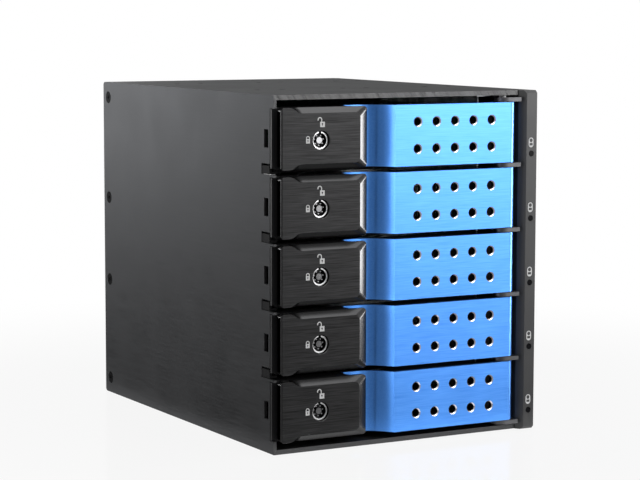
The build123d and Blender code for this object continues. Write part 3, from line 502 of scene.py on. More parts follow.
@dataclass(frozen=True)
class LockChrome(FinishSpec):
    """Chromed ring of a lock; inside its key socket the colour is painted shade that darkens with depth, mid
    grey at the centre post's face and near black deeper.
    """

    bright: Colour
    # The second colour is mid grey painted shade at the depth of the post's face; the third is near black
    # painted shade deeper in the socket.
    painted_post_shade: Colour
    inside: Colour
    front: float = -86.8
    lip: float = 0.35
    post_zone: float = 0.8
    patch: float = 300.0
    roughness: Pair = (0.3, 0.42)
    socket_polish: float = -0.2

    def paint(self, finish: Finish) -> None:
        """Set the ring apart from the socket by depth, and paint shade in the socket that darkens with depth.

        Args:
            finish: The material to work on.
        """
        y = finish.axes()[1]
        levels = [(self.front + depth) * MM for depth in (self.lip, self.post_zone)]
        mask, deep = (finish.maths("GREATER_THAN", y, level) for level in levels)
        mark = finish.group(finish.groups.handled, self.patch)["Mark"]
        # Painted shade: the socket darkens by depth, mid grey first, then near black.
        socket = finish.blend(deep, self.painted_post_shade, self.inside)
        worn = finish.span(mark, *self.roughness)
        rough = finish.maths("MULTIPLY_ADD", mask, self.socket_polish, worn)
        finish.put(Base_Color=finish.blend(mask, self.bright, socket), Roughness=rough, Metallic=1.0)


@dataclass(frozen=True)
class MouldedPlastic(FinishSpec):
    """Moulded plastic with a fine tool skin, dulled in patches by handling."""

    dark: Colour
    light: Colour
    roughness: float
    grain: float = 3500.0
    depth: float = 0.02
    relief: float = 0.3
    patch: float = 70.0
    swing: Pair = (1.0, 1.0)
    shift: Pair = (-0.08, 0.12)
    shine: float = 0.5
    metallic: float = 0.0

    def paint(self, finish: Finish) -> None:
        """Lay the grain's tone and relief and the patches.

        Args:
            finish: The material to work on.
        """
        skin = finish.group(finish.groups.moulded, self.grain)
        mark = finish.group(finish.groups.handled, self.patch)["Mark"]
        limits = (self.roughness * share + shift for share, shift in zip(self.swing, self.shift))
        finish.put(
            Base_Color=finish.blend(skin["Tone"], self.dark, self.light),
            Roughness=finish.span(mark, *limits),
            Specular_IOR_Level=self.shine,
            Metallic=self.metallic,
        )
        finish.bump(skin["Height"], self.depth, self.relief)


@dataclass(frozen=True)
class BareMetal(MouldedPlastic):
    """Plain or plated metal: the same layers with a fainter grain."""

    grain: float = 900.0
    depth: float = 0.004
    relief: float = 0.25
    patch: float = 120.0
    swing: Pair = (0.7, 1.3)
    shift: Pair = (0.0, 0.0)
    metallic: float = 1.0


@dataclass(frozen=True)
class ZincSheet(FinishSpec):
    """Zinc plated sheet with a faint crystal spangle."""

    dark: Colour
    light: Colour
    spangle: float = 260.0
    roughness: Pair = (0.3, 0.42)

    def paint(self, finish: Finish) -> None:
        """Give every crystal its own tone and roughness.

        Args:
            finish: The material to work on.
        """
        cells = finish.add("ShaderNodeTexVoronoi", finish.place)
        finish.join(self.spangle, cells.inputs["Scale"])
        shade = finish.add("ShaderNodeSeparateColor", cells.outputs["Color"]).outputs
        colour = finish.blend(shade[0], self.dark, self.light)
        finish.put(Base_Color=colour, Roughness=finish.span(shade[1], *self.roughness), Metallic=1.0)


@dataclass(frozen=True)
class CircuitBoard(FinishSpec):
    """Lacquered board with copper tracks under the lacquer."""

    ground: Colour
    track: Colour
    pitch: float = 2.2
    track_share: float = 0.16
    bend_scale: float = 60.0
    bends: float = 12.0
    patch_scale: float = 42.0
    roughness: float = 0.28
    depth: float = 0.02
    relief: float = 0.4

    def paint(self, finish: Finish) -> None:
        """Lay the tracks in patches, with steps where they bend.

        Args:
            finish: The material to work on.
        """
        pitch = self.pitch * MM
        sway = finish.noise(finish.place, self.bend_scale, 0.0)
        step = finish.maths("SNAP", finish.maths("MULTIPLY", sway, self.bends), 1.0)
        shifted = finish.maths("MULTIPLY_ADD", step, pitch * 0.5, finish.axes()[2])
        wave = finish.maths("PINGPONG", shifted, pitch / 2)
        mask = finish.maths("LESS_THAN", wave, pitch * self.track_share)
        patch = finish.maths("GREATER_THAN", finish.noise(finish.place, self.patch_scale, 1.0), 0.5)
        shown = finish.maths("MULTIPLY", mask, patch)
        finish.put(Base_Color=finish.blend(shown, self.ground, self.track), Roughness=self.roughness)
        finish.bump(mask, self.depth, self.relief)


@dataclass(frozen=True)
class ClearPlastic(FinishSpec):
    """Clear moulded plastic that carries a lamp's light."""

    colour: Colour
    shine: float = 0.5
    grain: float = 1500.0
    paleness: float = 1.25
    roughness: Pair = (0.12, 0.22)
    glow: float = 0.3
    glow_depth: float = 0.002

    def paint(self, finish: Finish) -> None:
        """Lay an uneven tone that light passes into.

        Args:
            finish: The material to work on.
        """
        tone = finish.group(finish.groups.moulded, self.grain)["Tone"]
        pale = tuple(min(1.0, value * self.paleness) for value in self.colour)
        finish.put(
            Base_Color=finish.blend(tone, self.colour, pale),
            Roughness=finish.span(tone, *self.roughness),
            Specular_IOR_Level=self.shine,
            Subsurface_Weight=self.glow,
            Subsurface_Radius=(self.glow_depth,) * 3,
        )


@dataclass(frozen=True)
class PrintedInk(FinishSpec):
    """Screen-printed ink, a little uneven."""

    colour: Colour
    grain: float = 5200.0
    wear: float = 0.86
    roughness: Pair = (0.45, 0.65)

    def paint(self, finish: Finish) -> None:
        """Lay the ink, worn in places.

        Args:
            finish: The material to work on.
        """
        skin = finish.group(finish.groups.moulded, self.grain)
        worn = tuple(value * self.wear for value in self.colour)
        colour = finish.blend(skin["Tone"], worn, self.colour)
        finish.put(Base_Color=colour, Roughness=finish.span(skin["Height"], *self.roughness))


class FinishRack:
    """All finishes of the cage, by the record's slot names."""

    def __init__(self) -> None:
        """Build every finish once."""
        coal, soot = (0.012, 0.012, 0.013), (0.03, 0.03, 0.032)
        specs: dict[str, FinishSpec] = {
            "anodised_black": ShellAnodised(
                "shell_anodised",
                (0.06, 0.06, 0.061),
                (0.082, 0.082, 0.084),
                Brush.ALONG_Y,
                0.75,
                0.36,
                stroke_depth=0.004,
                edge_tint=(0.18, 0.19, 0.2),
            ),
            "lever_black": PadAnodised(
                "lever_anodised", (0.001, 0.001, 0.0012), (0.038, 0.038, 0.039), Brush.ALONG_X, 0.8, 0.32
            ),
            "face_blue": VentedAnodised(
                "face_anodised", (0.055, 0.25, 0.82), (0.115, 0.37, 0.94), Brush.ALONG_X, 0.88, 0.32, coat=0.3
            ),
            "rear_black": MouldedPlastic(
                "rear_powder_coat",
                (0.007, 0.007, 0.0075),
                (0.018, 0.018, 0.019),
                0.6,
                1400.0,
                0.05,
                shine=0.04,
            ),
            "zinc_sheet": ZincSheet("sheet_zinc", (0.42, 0.43, 0.45), (0.62, 0.63, 0.65)),
            "screw_black": MouldedPlastic(
                "screw_oxide", (0.004, 0.004, 0.0045), (0.01, 0.01, 0.0105), 0.55, 2500.0, 0.008, shine=0.01
            ),
            "hinge_grey": BareMetal("hinge_anodised", (0.08, 0.08, 0.085), (0.13, 0.13, 0.135), 0.42),
            "pin_steel": BareMetal("pin_ground", (0.3, 0.3, 0.31), (0.42, 0.42, 0.43), 0.34),
            "guide_plastic": MouldedPlastic("guide_moulded", (0.6, 0.6, 0.57), (0.7, 0.7, 0.67), 0.5),
            "strip_plastic": MouldedPlastic(
                "strip_moulded", (0.024, 0.024, 0.025), (0.04, 0.04, 0.041), 0.36, 5000.0, 0.008
            ),
            "light_pipe": ClearPlastic("pipe_smoked", (0.006, 0.006, 0.007), 0.1),
            "lamp": ClearPlastic("lamp_lens", (0.8, 0.8, 0.74)),
            "board_green": CircuitBoard("board_lacquer", (0.006, 0.07, 0.028), (0.02, 0.14, 0.05)),
            "socket_plastic": MouldedPlastic("socket_moulded", coal, soot, 0.48),
            "power_plastic": MouldedPlastic("power_moulded", (0.62, 0.6, 0.54), (0.72, 0.7, 0.64), 0.45),
            "standoff_brass": BareMetal("standoff_turned", (0.52, 0.36, 0.12), (0.68, 0.5, 0.2), 0.28),
            "fan_plastic": MouldedPlastic("fan_moulded", coal, soot, 0.42),
            "fan_screw": BareMetal("fan_screw_zinc", (0.4, 0.4, 0.42), (0.55, 0.55, 0.57), 0.3),
            "frame_plastic": MouldedPlastic(
                "frame_moulded", (0.006, 0.006, 0.007), (0.014, 0.014, 0.015), 0.5, shine=0.25
            ),
            "spring_steel": BareMetal("spring_rolled", (0.35, 0.35, 0.36), (0.5, 0.5, 0.52), 0.3),
            # The lock's second and third colours are painted shade in its key socket; the first is the chrome
            # ring.
            "lock_metal": LockChrome(
                "lock_chrome", (0.92, 0.92, 0.93), (0.36, 0.36, 0.37), (0.04, 0.04, 0.041)
            ),
            "contact_gold": BareMetal("contact_gold", (0.75, 0.5, 0.18), (0.88, 0.64, 0.28), 0.2),
            "sign_white": PrintedInk("sign_ink", (0.62, 0.62, 0.62)),
            "label_silver": BareMetal("label_foil", (0.5, 0.5, 0.51), (0.62, 0.62, 0.64), 0.35),
        }
        groups = GroupShelf()
        self.materials: dict[str, Material] = {}
        for slot, spec in specs.items():
            finish = Finish(spec.name, groups)
            spec.paint(finish)
            self.materials[slot] = finish.material


def deselect() -> None:
    """Deselect everything."""
    bpy.ops.object.select_all(action="DESELECT")


def pick(obj: Object) -> None:
    """Select one object and make it active.

    Args:
        obj: The object.
    """
    deselect()
    obj.select_set(True)
    bpy.context.view_layer.objects.active = obj


@contextmanager
def editing() -> Iterator[None]:
    """Work on the active object's mesh in edit mode."""
    bpy.ops.object.mode_set(mode="EDIT")
    yield
    bpy.ops.object.mode_set(mode="OBJECT")


def lathe(outline: Sequence[Pair], steps: int) -> Object:
    """Turn an outline of radius and height about Z into a closed solid.

    Args:
        outline: Radius and height of each corner in millimetres, from the axis outwards.
        steps: Number of faces round the axis.

    Returns:
        The turned object, at the origin.
    """
    tiny = 1e-4
    deselect()
    bpy.ops.mesh.primitive_circle_add(vertices=steps, radius=outline[1][0] * MM, fill_type="NGON")
    obj = bpy.context.object
    with editing():
        bpy.ops.mesh.select_all(action="SELECT")
        bpy.ops.transform.translate(value=(0, 0, outline[1][1] * MM))
        for (r0, z0), (r1, z1) in zip(outline[1:-1], outline[2:]):
            share = max(r1, tiny) / max(r0, tiny)
            bpy.ops.mesh.extrude_region_move(TRANSFORM_OT_translate={"value": (0, 0, (z1 - z0) * MM)})
            bpy.ops.transform.resize(value=(share, share, 1), center_override=(0, 0, z1 * MM))
        bpy.ops.mesh.select_all(action="SELECT")
        bpy.ops.mesh.remove_doubles(threshold=MERGE_DISTANCE)
        bpy.ops.mesh.normals_make_consistent(inside=False)
    return obj


def slab(low: Vector, high: Vector) -> Object:
    """Make a box between two corners.

    Args:
        low: Lowest corner in metres.
        high: Highest corner in metres.

    Returns:
        The box, with its place in its mesh.
    """
    deselect()
    bpy.ops.mesh.primitive_cube_add(size=1, location=(low + high) / 2)
    obj = bpy.context.object
    obj.scale = high - low
    bpy.ops.object.transform_apply(location=True, rotation=True, scale=True)
    return obj


def modify(obj: Object, kind: str, **settings: Any) -> None:
    """Add a modifier and apply it.

    Args:
        obj: The object.
        kind: Blender's name of the modifier.
        **settings: Properties of the modifier and their values.
    """
    pick(obj)
    modifier = obj.modifiers.new(kind.lower(), kind)
    for name, value in settings.items():
        setattr(modifier, name, value)
    bpy.ops.object.modifier_apply(modifier=modifier.name)


def bevel(obj: Object, width: float, segments: int) -> None:
    """Round an object's sharp edges to a width in millimetres."""
    modify(obj, "BEVEL", width=width * MM, segments=segments, limit_method="ANGLE")


def combine(obj: Object, *tools: Object, operation: str = "DIFFERENCE") -> Object:
    """Cut objects out of another, or add them, and remove them.

    Args:
        obj: The object that stays.
        *tools: The objects whose space is taken out or added.
        operation: DIFFERENCE or UNION.

    Returns:
        The object that stays.
    """
    for tool in tools:
        modify(obj, "BOOLEAN", operation=operation, solver="EXACT", object=tool)
        bpy.data.objects.remove(tool, do_unlink=True)
    return obj


def copies(obj: Object, places: Iterable[Matrix]) -> list[Object]:
    """Copy an object to several places, each copy with its own mesh, and remove the first.

    Args:
        obj: The object, built at the origin.
        places: Where the copies go.

    Returns:
        The copies.
    """
    made = []
    for place in places:
        twin = obj.copy()
        twin.data = obj.data.copy()
        twin.data.transform(place)
        bpy.context.scene.collection.objects.link(twin)
        made.append(twin)
    bpy.data.objects.remove(obj, do_unlink=True)
    return made


def merge(objects: Sequence[Object], name: str) -> Object:
    """Join objects into one piece and shade it.

    Args:
        objects: The objects to join.
        name: Name of the piece.

    Returns:
        The piece.
    """
    deselect()
    for obj in objects:
        obj.select_set(True)
    bpy.context.view_layer.objects.active = objects[0]
    if len(objects) > 1:
        bpy.ops.object.join()
    piece = bpy.context.view_layer.objects.active
    piece.name = name
    piece.data.name = name
    pick(piece)
    bpy.ops.object.shade_smooth_by_angle(angle=SMOOTH_ANGLE)
    return piece


@dataclass(frozen=True)
class Pin:
    """Round pin with a chamfered tip: sizes in millimetres, heights along Z."""

    radius: float
    tip_share: float
    tip: float
    shoulder: float
    root: float
    steps: int

    def turned(self) -> Object:
        """Return the pin."""
        outline = [
            (0.0, self.tip),
            (self.radius * self.tip_share, self.tip),
            (self.radius, self.shoulder),
            (self.radius, self.root),
        ]
        return lathe(outline, self.steps)


@dataclass
class Fitting:
    """Base of the fittings that are modelled here, in millimetres where nothing else is said."""

    rack: FinishRack

    def build(self) -> None:
        """Make the fitting's pieces."""
        raise NotImplementedError

    def dress(self, piece: Object, slot: str, body: str, solid: str = "") -> Object:
        """Give a piece its finish and the body that it rides on.

        Args:
            piece: The piece.
            slot: Name of the finish.
            body: Name of the body.
            solid: The node that it stands for, if there is one.

        Returns:
            The same piece.
        """
        piece.data.materials.clear()
        piece.data.materials.append(self.rack.materials[slot])
        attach(piece, body)
        if solid:
            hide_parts(solid)
        LOG.info("piece %s rides on %s", piece.name, body)
        return piece


@dataclass
class Screws(Fitting):
    """Cross-recess screws that stand for the plain solids of the cage.

    The turns are in radians, and those of the fan's screws in radians per metre across and up.
    """

    head_radius: float = 2.75
    shank_radius: float = 1.45
    length: float = 2.7
    edge: float = 0.12
    inner_levels: float = 19.3
    turns: tuple[float, ...] = (0.3, 1.1, 0.75, 0.1)
    fan_head: float = 3.4
    fan_shank: float = 1.9
    fan_dome: tuple[Pair, ...] = ((0.72, 1.0), (0.93, 0.72), (1.0, 0.3), (1.0, 0.0))
    fan_turns: Pair = (40.0, 25.0)
    recess_reach: float = 1.55
    recess_width: float = 0.62
    recess_depth: float = 0.85
    recess_taper: Triple = (0.35, 0.8, 1.0)
    over: float = 1.0
    steps: int = 40

    def _recess(self, obj: Object, top: float) -> Object:
        """Cut the cross into a head.

        Args:
            obj: The screw, built along Z.
            top: Height of the head's top.

        Returns:
            The same screw.
        """
        underside = -0.9
        half = self.recess_width / 2
        for turn in (0.0, 90.0):
            low = Vector((-self.recess_reach, -half, top - self.recess_depth)) * MM
            high = Vector((self.recess_reach, half, top + self.over)) * MM
            tool = slab(low, high)
            with editing():
                bpy.ops.mesh.select_all(action="DESELECT")
            for face in tool.data.polygons:
                face.select = face.normal.z < underside
            with editing():
                bpy.ops.transform.resize(value=self.recess_taper)
            tool.data.transform(Matrix.Rotation(math.radians(turn), 4, "Z"))
            combine(obj, tool)
        return obj

    def countersunk(self) -> Object:
        """Return a countersunk screw along Z with the top of its head at 0."""
        cone = self.shank_radius - self.head_radius
        outline = [
            (0.0, 0.0),
            (self.head_radius - self.edge, 0.0),
            (self.head_radius, -self.edge),
            (self.shank_radius, cone - self.edge),
            (self.shank_radius, -self.length),
        ]
        return self._recess(lathe(outline, self.steps), 0.0)

    def pan(self, height: float, length: float) -> Object:
        """Return a pan-head screw with the underside of its head at 0.

        Args:
            height: Height of the head.
            length: Length below the head.

        Returns:
            The screw, along Z.
        """
        dome = [(self.fan_head * radius, height * level) for radius, level in self.fan_dome]
        outline = [(0.0, height), *dome, (self.fan_shank, 0.0), (self.fan_shank, -length)]
        return self._recess(lathe(outline, self.steps), height)

    def build(self) -> None:
        """Make the side panels' and the fan's screws."""
        low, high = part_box("panel_screws")
        middle = (low + high) / 2
        radius = self.head_radius * MM
        inner = self.inner_levels * MM
        levels = [low.z + radius, middle.z - inner, middle.z + inner, high.z - radius]
        screws = []
        for facing, face in ((Facing.LEFT, low.x), (Facing.RIGHT, high.x)):
            places = [
                Matrix.Translation((face, middle.y, z)) @ facing.matrix() @ Matrix.Rotation(turn, 4, "Z")
                for z, turn in zip(levels, self.turns)
            ]
            screws += copies(self.countersunk(), places)
        self.dress(merge(screws, "side_screws"), "screw_black", "chassis", "panel_screws")

        low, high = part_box("fan_screws")
        inset = self.fan_head * MM
        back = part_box("fan_frame")[1].y
        along, up = self.fan_turns
        places = []
        for x in (low.x + inset, high.x - inset):
            for z in (low.z + inset, high.z - inset):
                turn = Matrix.Rotation(x * along + z * up, 4, "Z")
                places.append(Matrix.Translation((x, back, z)) @ Facing.BACK.matrix() @ turn)
        screws = copies(self.pan((high.y - back) / MM, (back - low.y) / MM), places)
        self.dress(merge(screws, "fan_mounting_screws"), "fan_screw", "chassis", "fan_screws")


@dataclass
class Signs(Fitting):
    """Printed padlocks on the levers and drive signs on the strip."""

    proud: float = 0.03
    ink: float = 0.05
    stroke: float = 0.4
    through: float = 0.1
    disc_steps: int = 28
    body: float = 2.15
    keyhole: float = 0.36
    keyhole_rise: float = 0.2
    key_slot: tuple[float, float, float, float] = (-0.14, -0.55, 0.14, 0.1)
    shackle: float = 0.84
    overlap: float = 0.05
    short_leg: float = 0.35
    open_place: Pair = (-42.1, 5.6)
    open_shackle: Pair = (-1.2, 1.95)
    closed_place: Pair = (-48.75, -1.0)
    closed_shackle: Pair = (0.0, 1.5)
    closed_scale: float = 0.82
    drive_place: Pair = (59.6, -4.6)
    drive_width: float = 2.4
    drive_height: float = 4.2
    arm_foot: float = 0.35
    arm_gap: float = 0.3

    def disc(self, x: float, z: float, radius: float, growth: float = 0.0) -> Object:
        """Return a disc of ink about Y.

        Args:
            x: Place of its middle.
            z: Height of its middle.
            radius: Its radius.
            growth: What it stands out at both sides, for a cutting tool.

        Returns:
            The disc, with its place in its mesh.
        """
        deselect()
        bpy.ops.mesh.primitive_cylinder_add(
            vertices=self.disc_steps,
            radius=radius * MM,
            depth=(self.ink + 2 * growth) * MM,
            location=Vector((x, 0, z)) * MM,
            rotation=(math.pi / 2, 0, 0),
        )
        bpy.ops.object.transform_apply(location=True, rotation=True, scale=True)
        return bpy.context.object

    def bar(self, left: float, low: float, right: float, high: float, growth: float = 0.0) -> Object:
        """Return a bar of ink between two corners, with a growth at front and back for a cutting tool."""
        half = self.ink / 2 + growth
        return slab(Vector((left, -half, low)) * MM, Vector((right, half, high)) * MM)

    def arch(self, x: float, z: float, legs: Pair) -> Object:
        """Return a padlock's shackle: half a ring with two legs.

        Args:
            x: Place of the arc's centre.
            z: Height of the arc's centre.
            legs: Lengths of the left and the right leg.

        Returns:
            The shackle.
        """
        half, free = self.stroke / 2, self.through
        outer, inner = self.shackle + half, self.shackle - half
        reach = outer + free
        lower = self.bar(x - reach, z - reach, x + reach, z, free)
        ring = combine(self.disc(x, z, outer), self.disc(x, z, inner, free), lower)
        middles = (x - self.shackle, x + self.shackle)
        bars = [self.bar(middle - half, z - leg, middle + half, z) for middle, leg in zip(middles, legs)]
        return combine(ring, *bars, operation="UNION")

    def padlock(self, is_open: bool) -> Object:
        """Return one padlock sign about its body's middle.

        Args:
            is_open: Whether the shackle is swung out.

        Returns:
            The sign.
        """
        half = self.body / 2
        keyhole = self.disc(0, self.keyhole_rise, self.keyhole, self.through)
        key_slot = self.bar(*self.key_slot, self.through)
        body = combine(self.bar(-half, -half, half, half), keyhole, key_slot)
        x, z = self.open_shackle if is_open else self.closed_shackle
        reach = z - half + self.overlap
        legs = (self.short_leg, reach) if is_open else (reach, reach)
        return combine(body, self.arch(x, z, legs), operation="UNION")

    def drive_sign(self) -> Object:
        """Return the drive sign: the outline of an upright case with its platter and its arm open."""
        radius = self.drive_width / 2
        rise = self.drive_height / 2 - radius
        inner = radius - self.stroke
        foot, middle = self.disc(0, -rise, radius), self.bar(-radius, -rise, radius, rise)
        case = combine(self.disc(0, rise, radius), foot, middle, operation="UNION")
        platter = self.disc(0, rise, inner, self.through)
        low, high = -rise - self.arm_foot, rise - inner - self.arm_gap
        return combine(case, platter, self.bar(-inner, low, inner, high, self.through))

    def build(self) -> None:
        """Print the signs."""
        places = []
        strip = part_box("indicator_strip")[0].y - self.proud * MM
        locks = ((True, self.open_place, 1.0), (False, self.closed_place, self.closed_scale))
        for bay in BAYS:
            low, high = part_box(f"door_frame_{bay}")
            centre = (low.z + high.z) / 2
            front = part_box(f"latch_lever_{bay}")[0].y - self.proud * MM
            signs = []
            for is_open, (x, z), scale in locks:
                spot = Matrix.Translation((x * MM, front, centre + z * MM))
                spot @= Matrix.Diagonal((scale, 1.0, scale, 1.0))
                signs += copies(self.padlock(is_open), [spot])
            self.dress(merge(signs, f"padlock_signs_{bay}"), "sign_white", f"latch_{bay}")
            x, z = self.drive_place
            places.append(Matrix.Translation((x * MM, strip, centre + z * MM)))
        signs = copies(self.drive_sign(), places)
        self.dress(merge(signs, "drive_signs"), "sign_white", "chassis")


@dataclass
class LockPins(Fitting):
    """Ring of spring pins at the bottom of each tubular lock."""

    count: int = 7
    barrel_radius: float = 3.6
    socket_depth: float = 2.6
    ring_radius: float = 2.1
    pin: Pin = Pin(0.36, tip_share=0.7, tip=1.5, shoulder=1.38, root=-0.3, steps=14)

    def build(self) -> None:
        """Make one ring of pins for each lock."""
        radius = self.barrel_radius * MM
        for bay in BAYS:
            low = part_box(f"lock_barrel_{bay}")[0]
            centre = low + Vector((radius, self.socket_depth * MM, radius))
            places = []
            for number in range(self.count):
                angle = math.radians(90 + 360 / self.count * (number + 0.5))
                offset = Vector((math.cos(angle), 0, math.sin(angle))) * self.ring_radius * MM
                places.append(Matrix.Translation(centre + offset) @ Facing.FRONT.matrix())
            piece = merge(copies(self.pin.turned(), places), f"lock_pins_{bay}")
            self.dress(piece, "pin_steel", f"lock_{bay}")


@dataclass
class FacePlates(Fitting):
    """Blue faces whose finger scoop has a slightly hollow slope."""

    start: float = -12.6855
    end: float = -7.8
    turn: float = 50.0
    hollow: float = 0.32
    cuts: int = 9
    near: float = 0.01

    def hollowed(self, node: str) -> Object:
        """Copy a face, cut its slope across and press the cuts in.

        Args:
            node: Name of the face's solid.

        Returns:
            The copy, with its own mesh.
        """
        mesh = bpy.data.objects[node].data.copy()
        obj = bpy.data.objects.new(node, mesh)
        bpy.context.scene.collection.objects.link(obj)
        pick(obj)
        bpy.ops.mesh.customdata_custom_splitnormals_clear()
        with editing():
            bpy.ops.mesh.select_all(action="SELECT")
            bpy.ops.mesh.remove_doubles(threshold=MERGE_DISTANCE)
            for number in range(1, self.cuts + 1):
                x = self.start + (self.end - self.start) * number / (self.cuts + 1)
                bpy.ops.mesh.select_all(action="SELECT")
                bpy.ops.mesh.bisect(plane_co=(x * MM, 0, 0), plane_no=(1, 0, 0))
        angle = math.radians(self.turn)
        out = Vector((-math.sin(angle), -math.cos(angle), 0.0))
        corner = Vector((self.end * MM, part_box(node)[0].y, 0.0))
        for vertex in mesh.vertices:
            gap = vertex.co - corner
            share = 1 + gap.x / MM / (self.end - self.start)
            if 0 < share < 1 and abs(gap.dot(out)) < self.near * MM:
                vertex.co -= out * (4 * share * (1 - share) * self.hollow * MM)
        return obj

    def build(self) -> None:
        """Make the five faces."""
        for bay in BAYS:
            node = f"face_plate_{bay}"
            piece = merge([self.hollowed(node)], f"face_shell_{bay}")
            modify(piece, "WEIGHTED_NORMAL", keep_sharp=True)
            self.dress(piece, "face_blue", f"door_{bay}", node)


@dataclass
class LatchSprings(Fitting):
    """Leaf spring behind each lever: a foot on the door and a blade that the lever's hook presses aside."""

    sheet: float = 0.4
    foot: float = 5.5
    reach: float = 5.0
    rise: float = 3.4
    bend: float = 1.5
    steps: int = 6
    edge: float = 0.06
    keep: float = 0.86

    def path(self) -> list[Vector]:
        """Return the leaf's centre line in metres, from the end of the foot to the blade's tip."""
        slope = math.atan2(self.rise, self.reach)
        start = self.bend * math.tan(slope / 2) - self.foot
        points = [Vector((0.0, 0.0, 0.0))]
        for step in range(self.steps + 1):
            angle = slope * step / self.steps
            sag = self.bend * (1 - math.cos(angle))
            points.append(Vector((start - self.bend * math.sin(angle), -sag, 0.0)))
        points.append(Vector((-self.foot - self.reach, -self.rise, 0.0)))
        return [point * MM for point in points]

    def leaf(self, height: float) -> Object:
        """Draw a strip out along the path and give it its thickness.

        Args:
            height: Height of the strip in metres.

        Returns:
            The leaf, with the end of its foot at the origin.
        """
        points = self.path()
        deselect()
        bpy.ops.mesh.primitive_plane_add(size=1, location=points[1] / 2, rotation=(math.pi / 2, 0, 0))
        obj = bpy.context.object
        obj.scale = (points[1].length, height, 1)
        bpy.ops.object.transform_apply(location=True, rotation=True, scale=True)
        for item in (*obj.data.polygons, *obj.data.edges):
            item.select = False
        for vertex in obj.data.vertices:
            vertex.select = vertex.co.x < points[1].x / 2
        with editing():
            for here, there in zip(points[1:-1], points[2:]):
                bpy.ops.mesh.extrude_edges_move(TRANSFORM_OT_translate={"value": there - here})
            bpy.ops.mesh.select_all(action="SELECT")
            bpy.ops.mesh.normals_make_consistent(inside=False)
        modify(obj, "SOLIDIFY", thickness=self.sheet * MM, offset=0.0, use_even_offset=True)
        bevel(obj, self.edge, 2)
        return obj

    def build(self) -> None:
        """Make one leaf for each lever."""
        for bay in BAYS:
            solid = f"latch_spring_{bay}"
            low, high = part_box(solid)
            end = Vector((high.x, high.y - self.sheet / 2 * MM, (low.z + high.z) / 2))
            leaf = copies(self.leaf(high.z - low.z), [Matrix.Translation(end)])
            piece = merge(leaf, f"latch_leaf_{bay}")
            self.dress(piece, "spring_steel", f"door_{bay}", solid)
            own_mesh(piece)


@dataclass
class Contacts(Fitting):
    """Metal contacts in the sockets at both sides of the backplane."""

    blade: Triple = (0.8, 4.2, 0.25)
    blade_pitch: float = 1.27
    blade_corner: Triple = (3.2, 0.6, 0.55)
    blade_edge: float = 0.06
    blanks: int = 4
    pin: Pin = Pin(1.05, tip_share=0.55, tip=5.6, shoulder=4.8, root=-0.2, steps=18)
    pin_pitch: float = 4.95
    pin_steps: tuple[float, ...] = (-1.5, -0.5, 0.5, 1.5)
    pin_depth: float = 1.1
    socket_inset: float = 11.0

    def build(self) -> None:
        """Make the drive sockets' blades and the power sockets' pins."""
        low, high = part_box("drive_sockets")
        count = int((high.x - low.x) / MM / self.blade_pitch) - self.blanks
        size = Vector(self.blade) * MM
        inset, depth, level = Vector(self.blade_corner) * MM
        blades = []
        for bay in BAYS:
            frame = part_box(f"door_frame_{bay}")
            z = (frame[0].z + frame[1].z) / 2 + level
            for number in range(count):
                corner = Vector((low.x + inset + number * self.blade_pitch * MM, low.y + depth, z))
                blades.append(slab(corner, corner + size))
        piece = merge(blades, "socket_blades")
        bevel(piece, self.blade_edge, 1)
        self.dress(piece, "contact_gold", "chassis")

        low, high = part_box("power_sockets")
        x, y = (low.x + high.x) / 2, low.y + self.pin_depth * MM
        inset = self.socket_inset * MM
        places = [
            Matrix.Translation((x, y, middle + step * self.pin_pitch * MM)) @ Facing.BACK.matrix()
            for middle in (low.z + inset, high.z - inset)
            for step in self.pin_steps
        ]
        pins = copies(self.pin.turned(), places)
        self.dress(merge(pins, "power_pins"), "contact_gold", "chassis")


@dataclass
class FanLabel(Fitting):
    """Bare foil disc on the fan's motor mount."""

    radius: float = 14.5
    rim: float = 1.2
    thickness: float = 0.12
    rim_share: float = 0.6
    sunk: float = 0.05
    steps: int = 64

    def build(self) -> None:
        """Make the disc."""
        low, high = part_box("fan_frame")
        inner, ledge = self.radius - self.rim, self.thickness * self.rim_share
        outline = [
            (0.0, self.thickness),
            (inner, self.thickness),
            (inner, ledge),
            (self.radius, ledge),
            (self.radius, -self.sunk),
        ]
        spot = Matrix.Translation(((low.x + high.x) / 2, high.y, (low.z + high.z) / 2))
        disc = copies(lathe(outline, self.steps), [spot @ Facing.BACK.matrix()])
        self.dress(merge(disc, "fan_label"), "label_silver", "chassis")


class StageShader(MaterialGraph):
    """Material of the studio, mixed from plain shaders."""

    def __init__(self, name: str) -> None:
        """Make the material without its Principled shader."""
        super().__init__(name)
        self.tree.nodes.remove(self.tree.nodes["Principled BSDF"])

    def mix(self, mask: NodeSocket, first: NodeSocket, second: NodeSocket) -> NodeSocket:
        """Mix two shaders and make the mix the material's surface.

        Args:
            mask: Share of the second shader.
            first: Shader where the mask is 0.
            second: Shader where the mask is 1.

        Returns:
            The mixed shader.
        """
        mixed = self.add("ShaderNodeMixShader", mask, first, second).outputs[0]
        self.join(mixed, self.tree.nodes["Material Output"].inputs["Surface"])
        return mixed


@dataclass(frozen=True)
class Lamp:
    """Soft box: where it hangs, the point that it faces, its width and height, its power in watts."""

    name: str
    place: Triple
    aim: Triple
    size: Pair
    power: float

    def build(self) -> None:
        """Hang the lamp."""
        data = bpy.data.lights.new(self.name, "AREA")
        data.shape = "RECTANGLE"
        data.size, data.size_y = self.size
        data.energy = self.power
        lamp = bpy.data.objects.new(self.name, data)
        bpy.context.scene.collection.objects.link(lamp)
        lamp.visible_camera = False
        lamp.location = self.place
        lamp.rotation_mode = "QUATERNION"
        lamp.rotation_quaternion = (Vector(self.aim) - Vector(self.place)).to_track_quat("-Z", "Y")


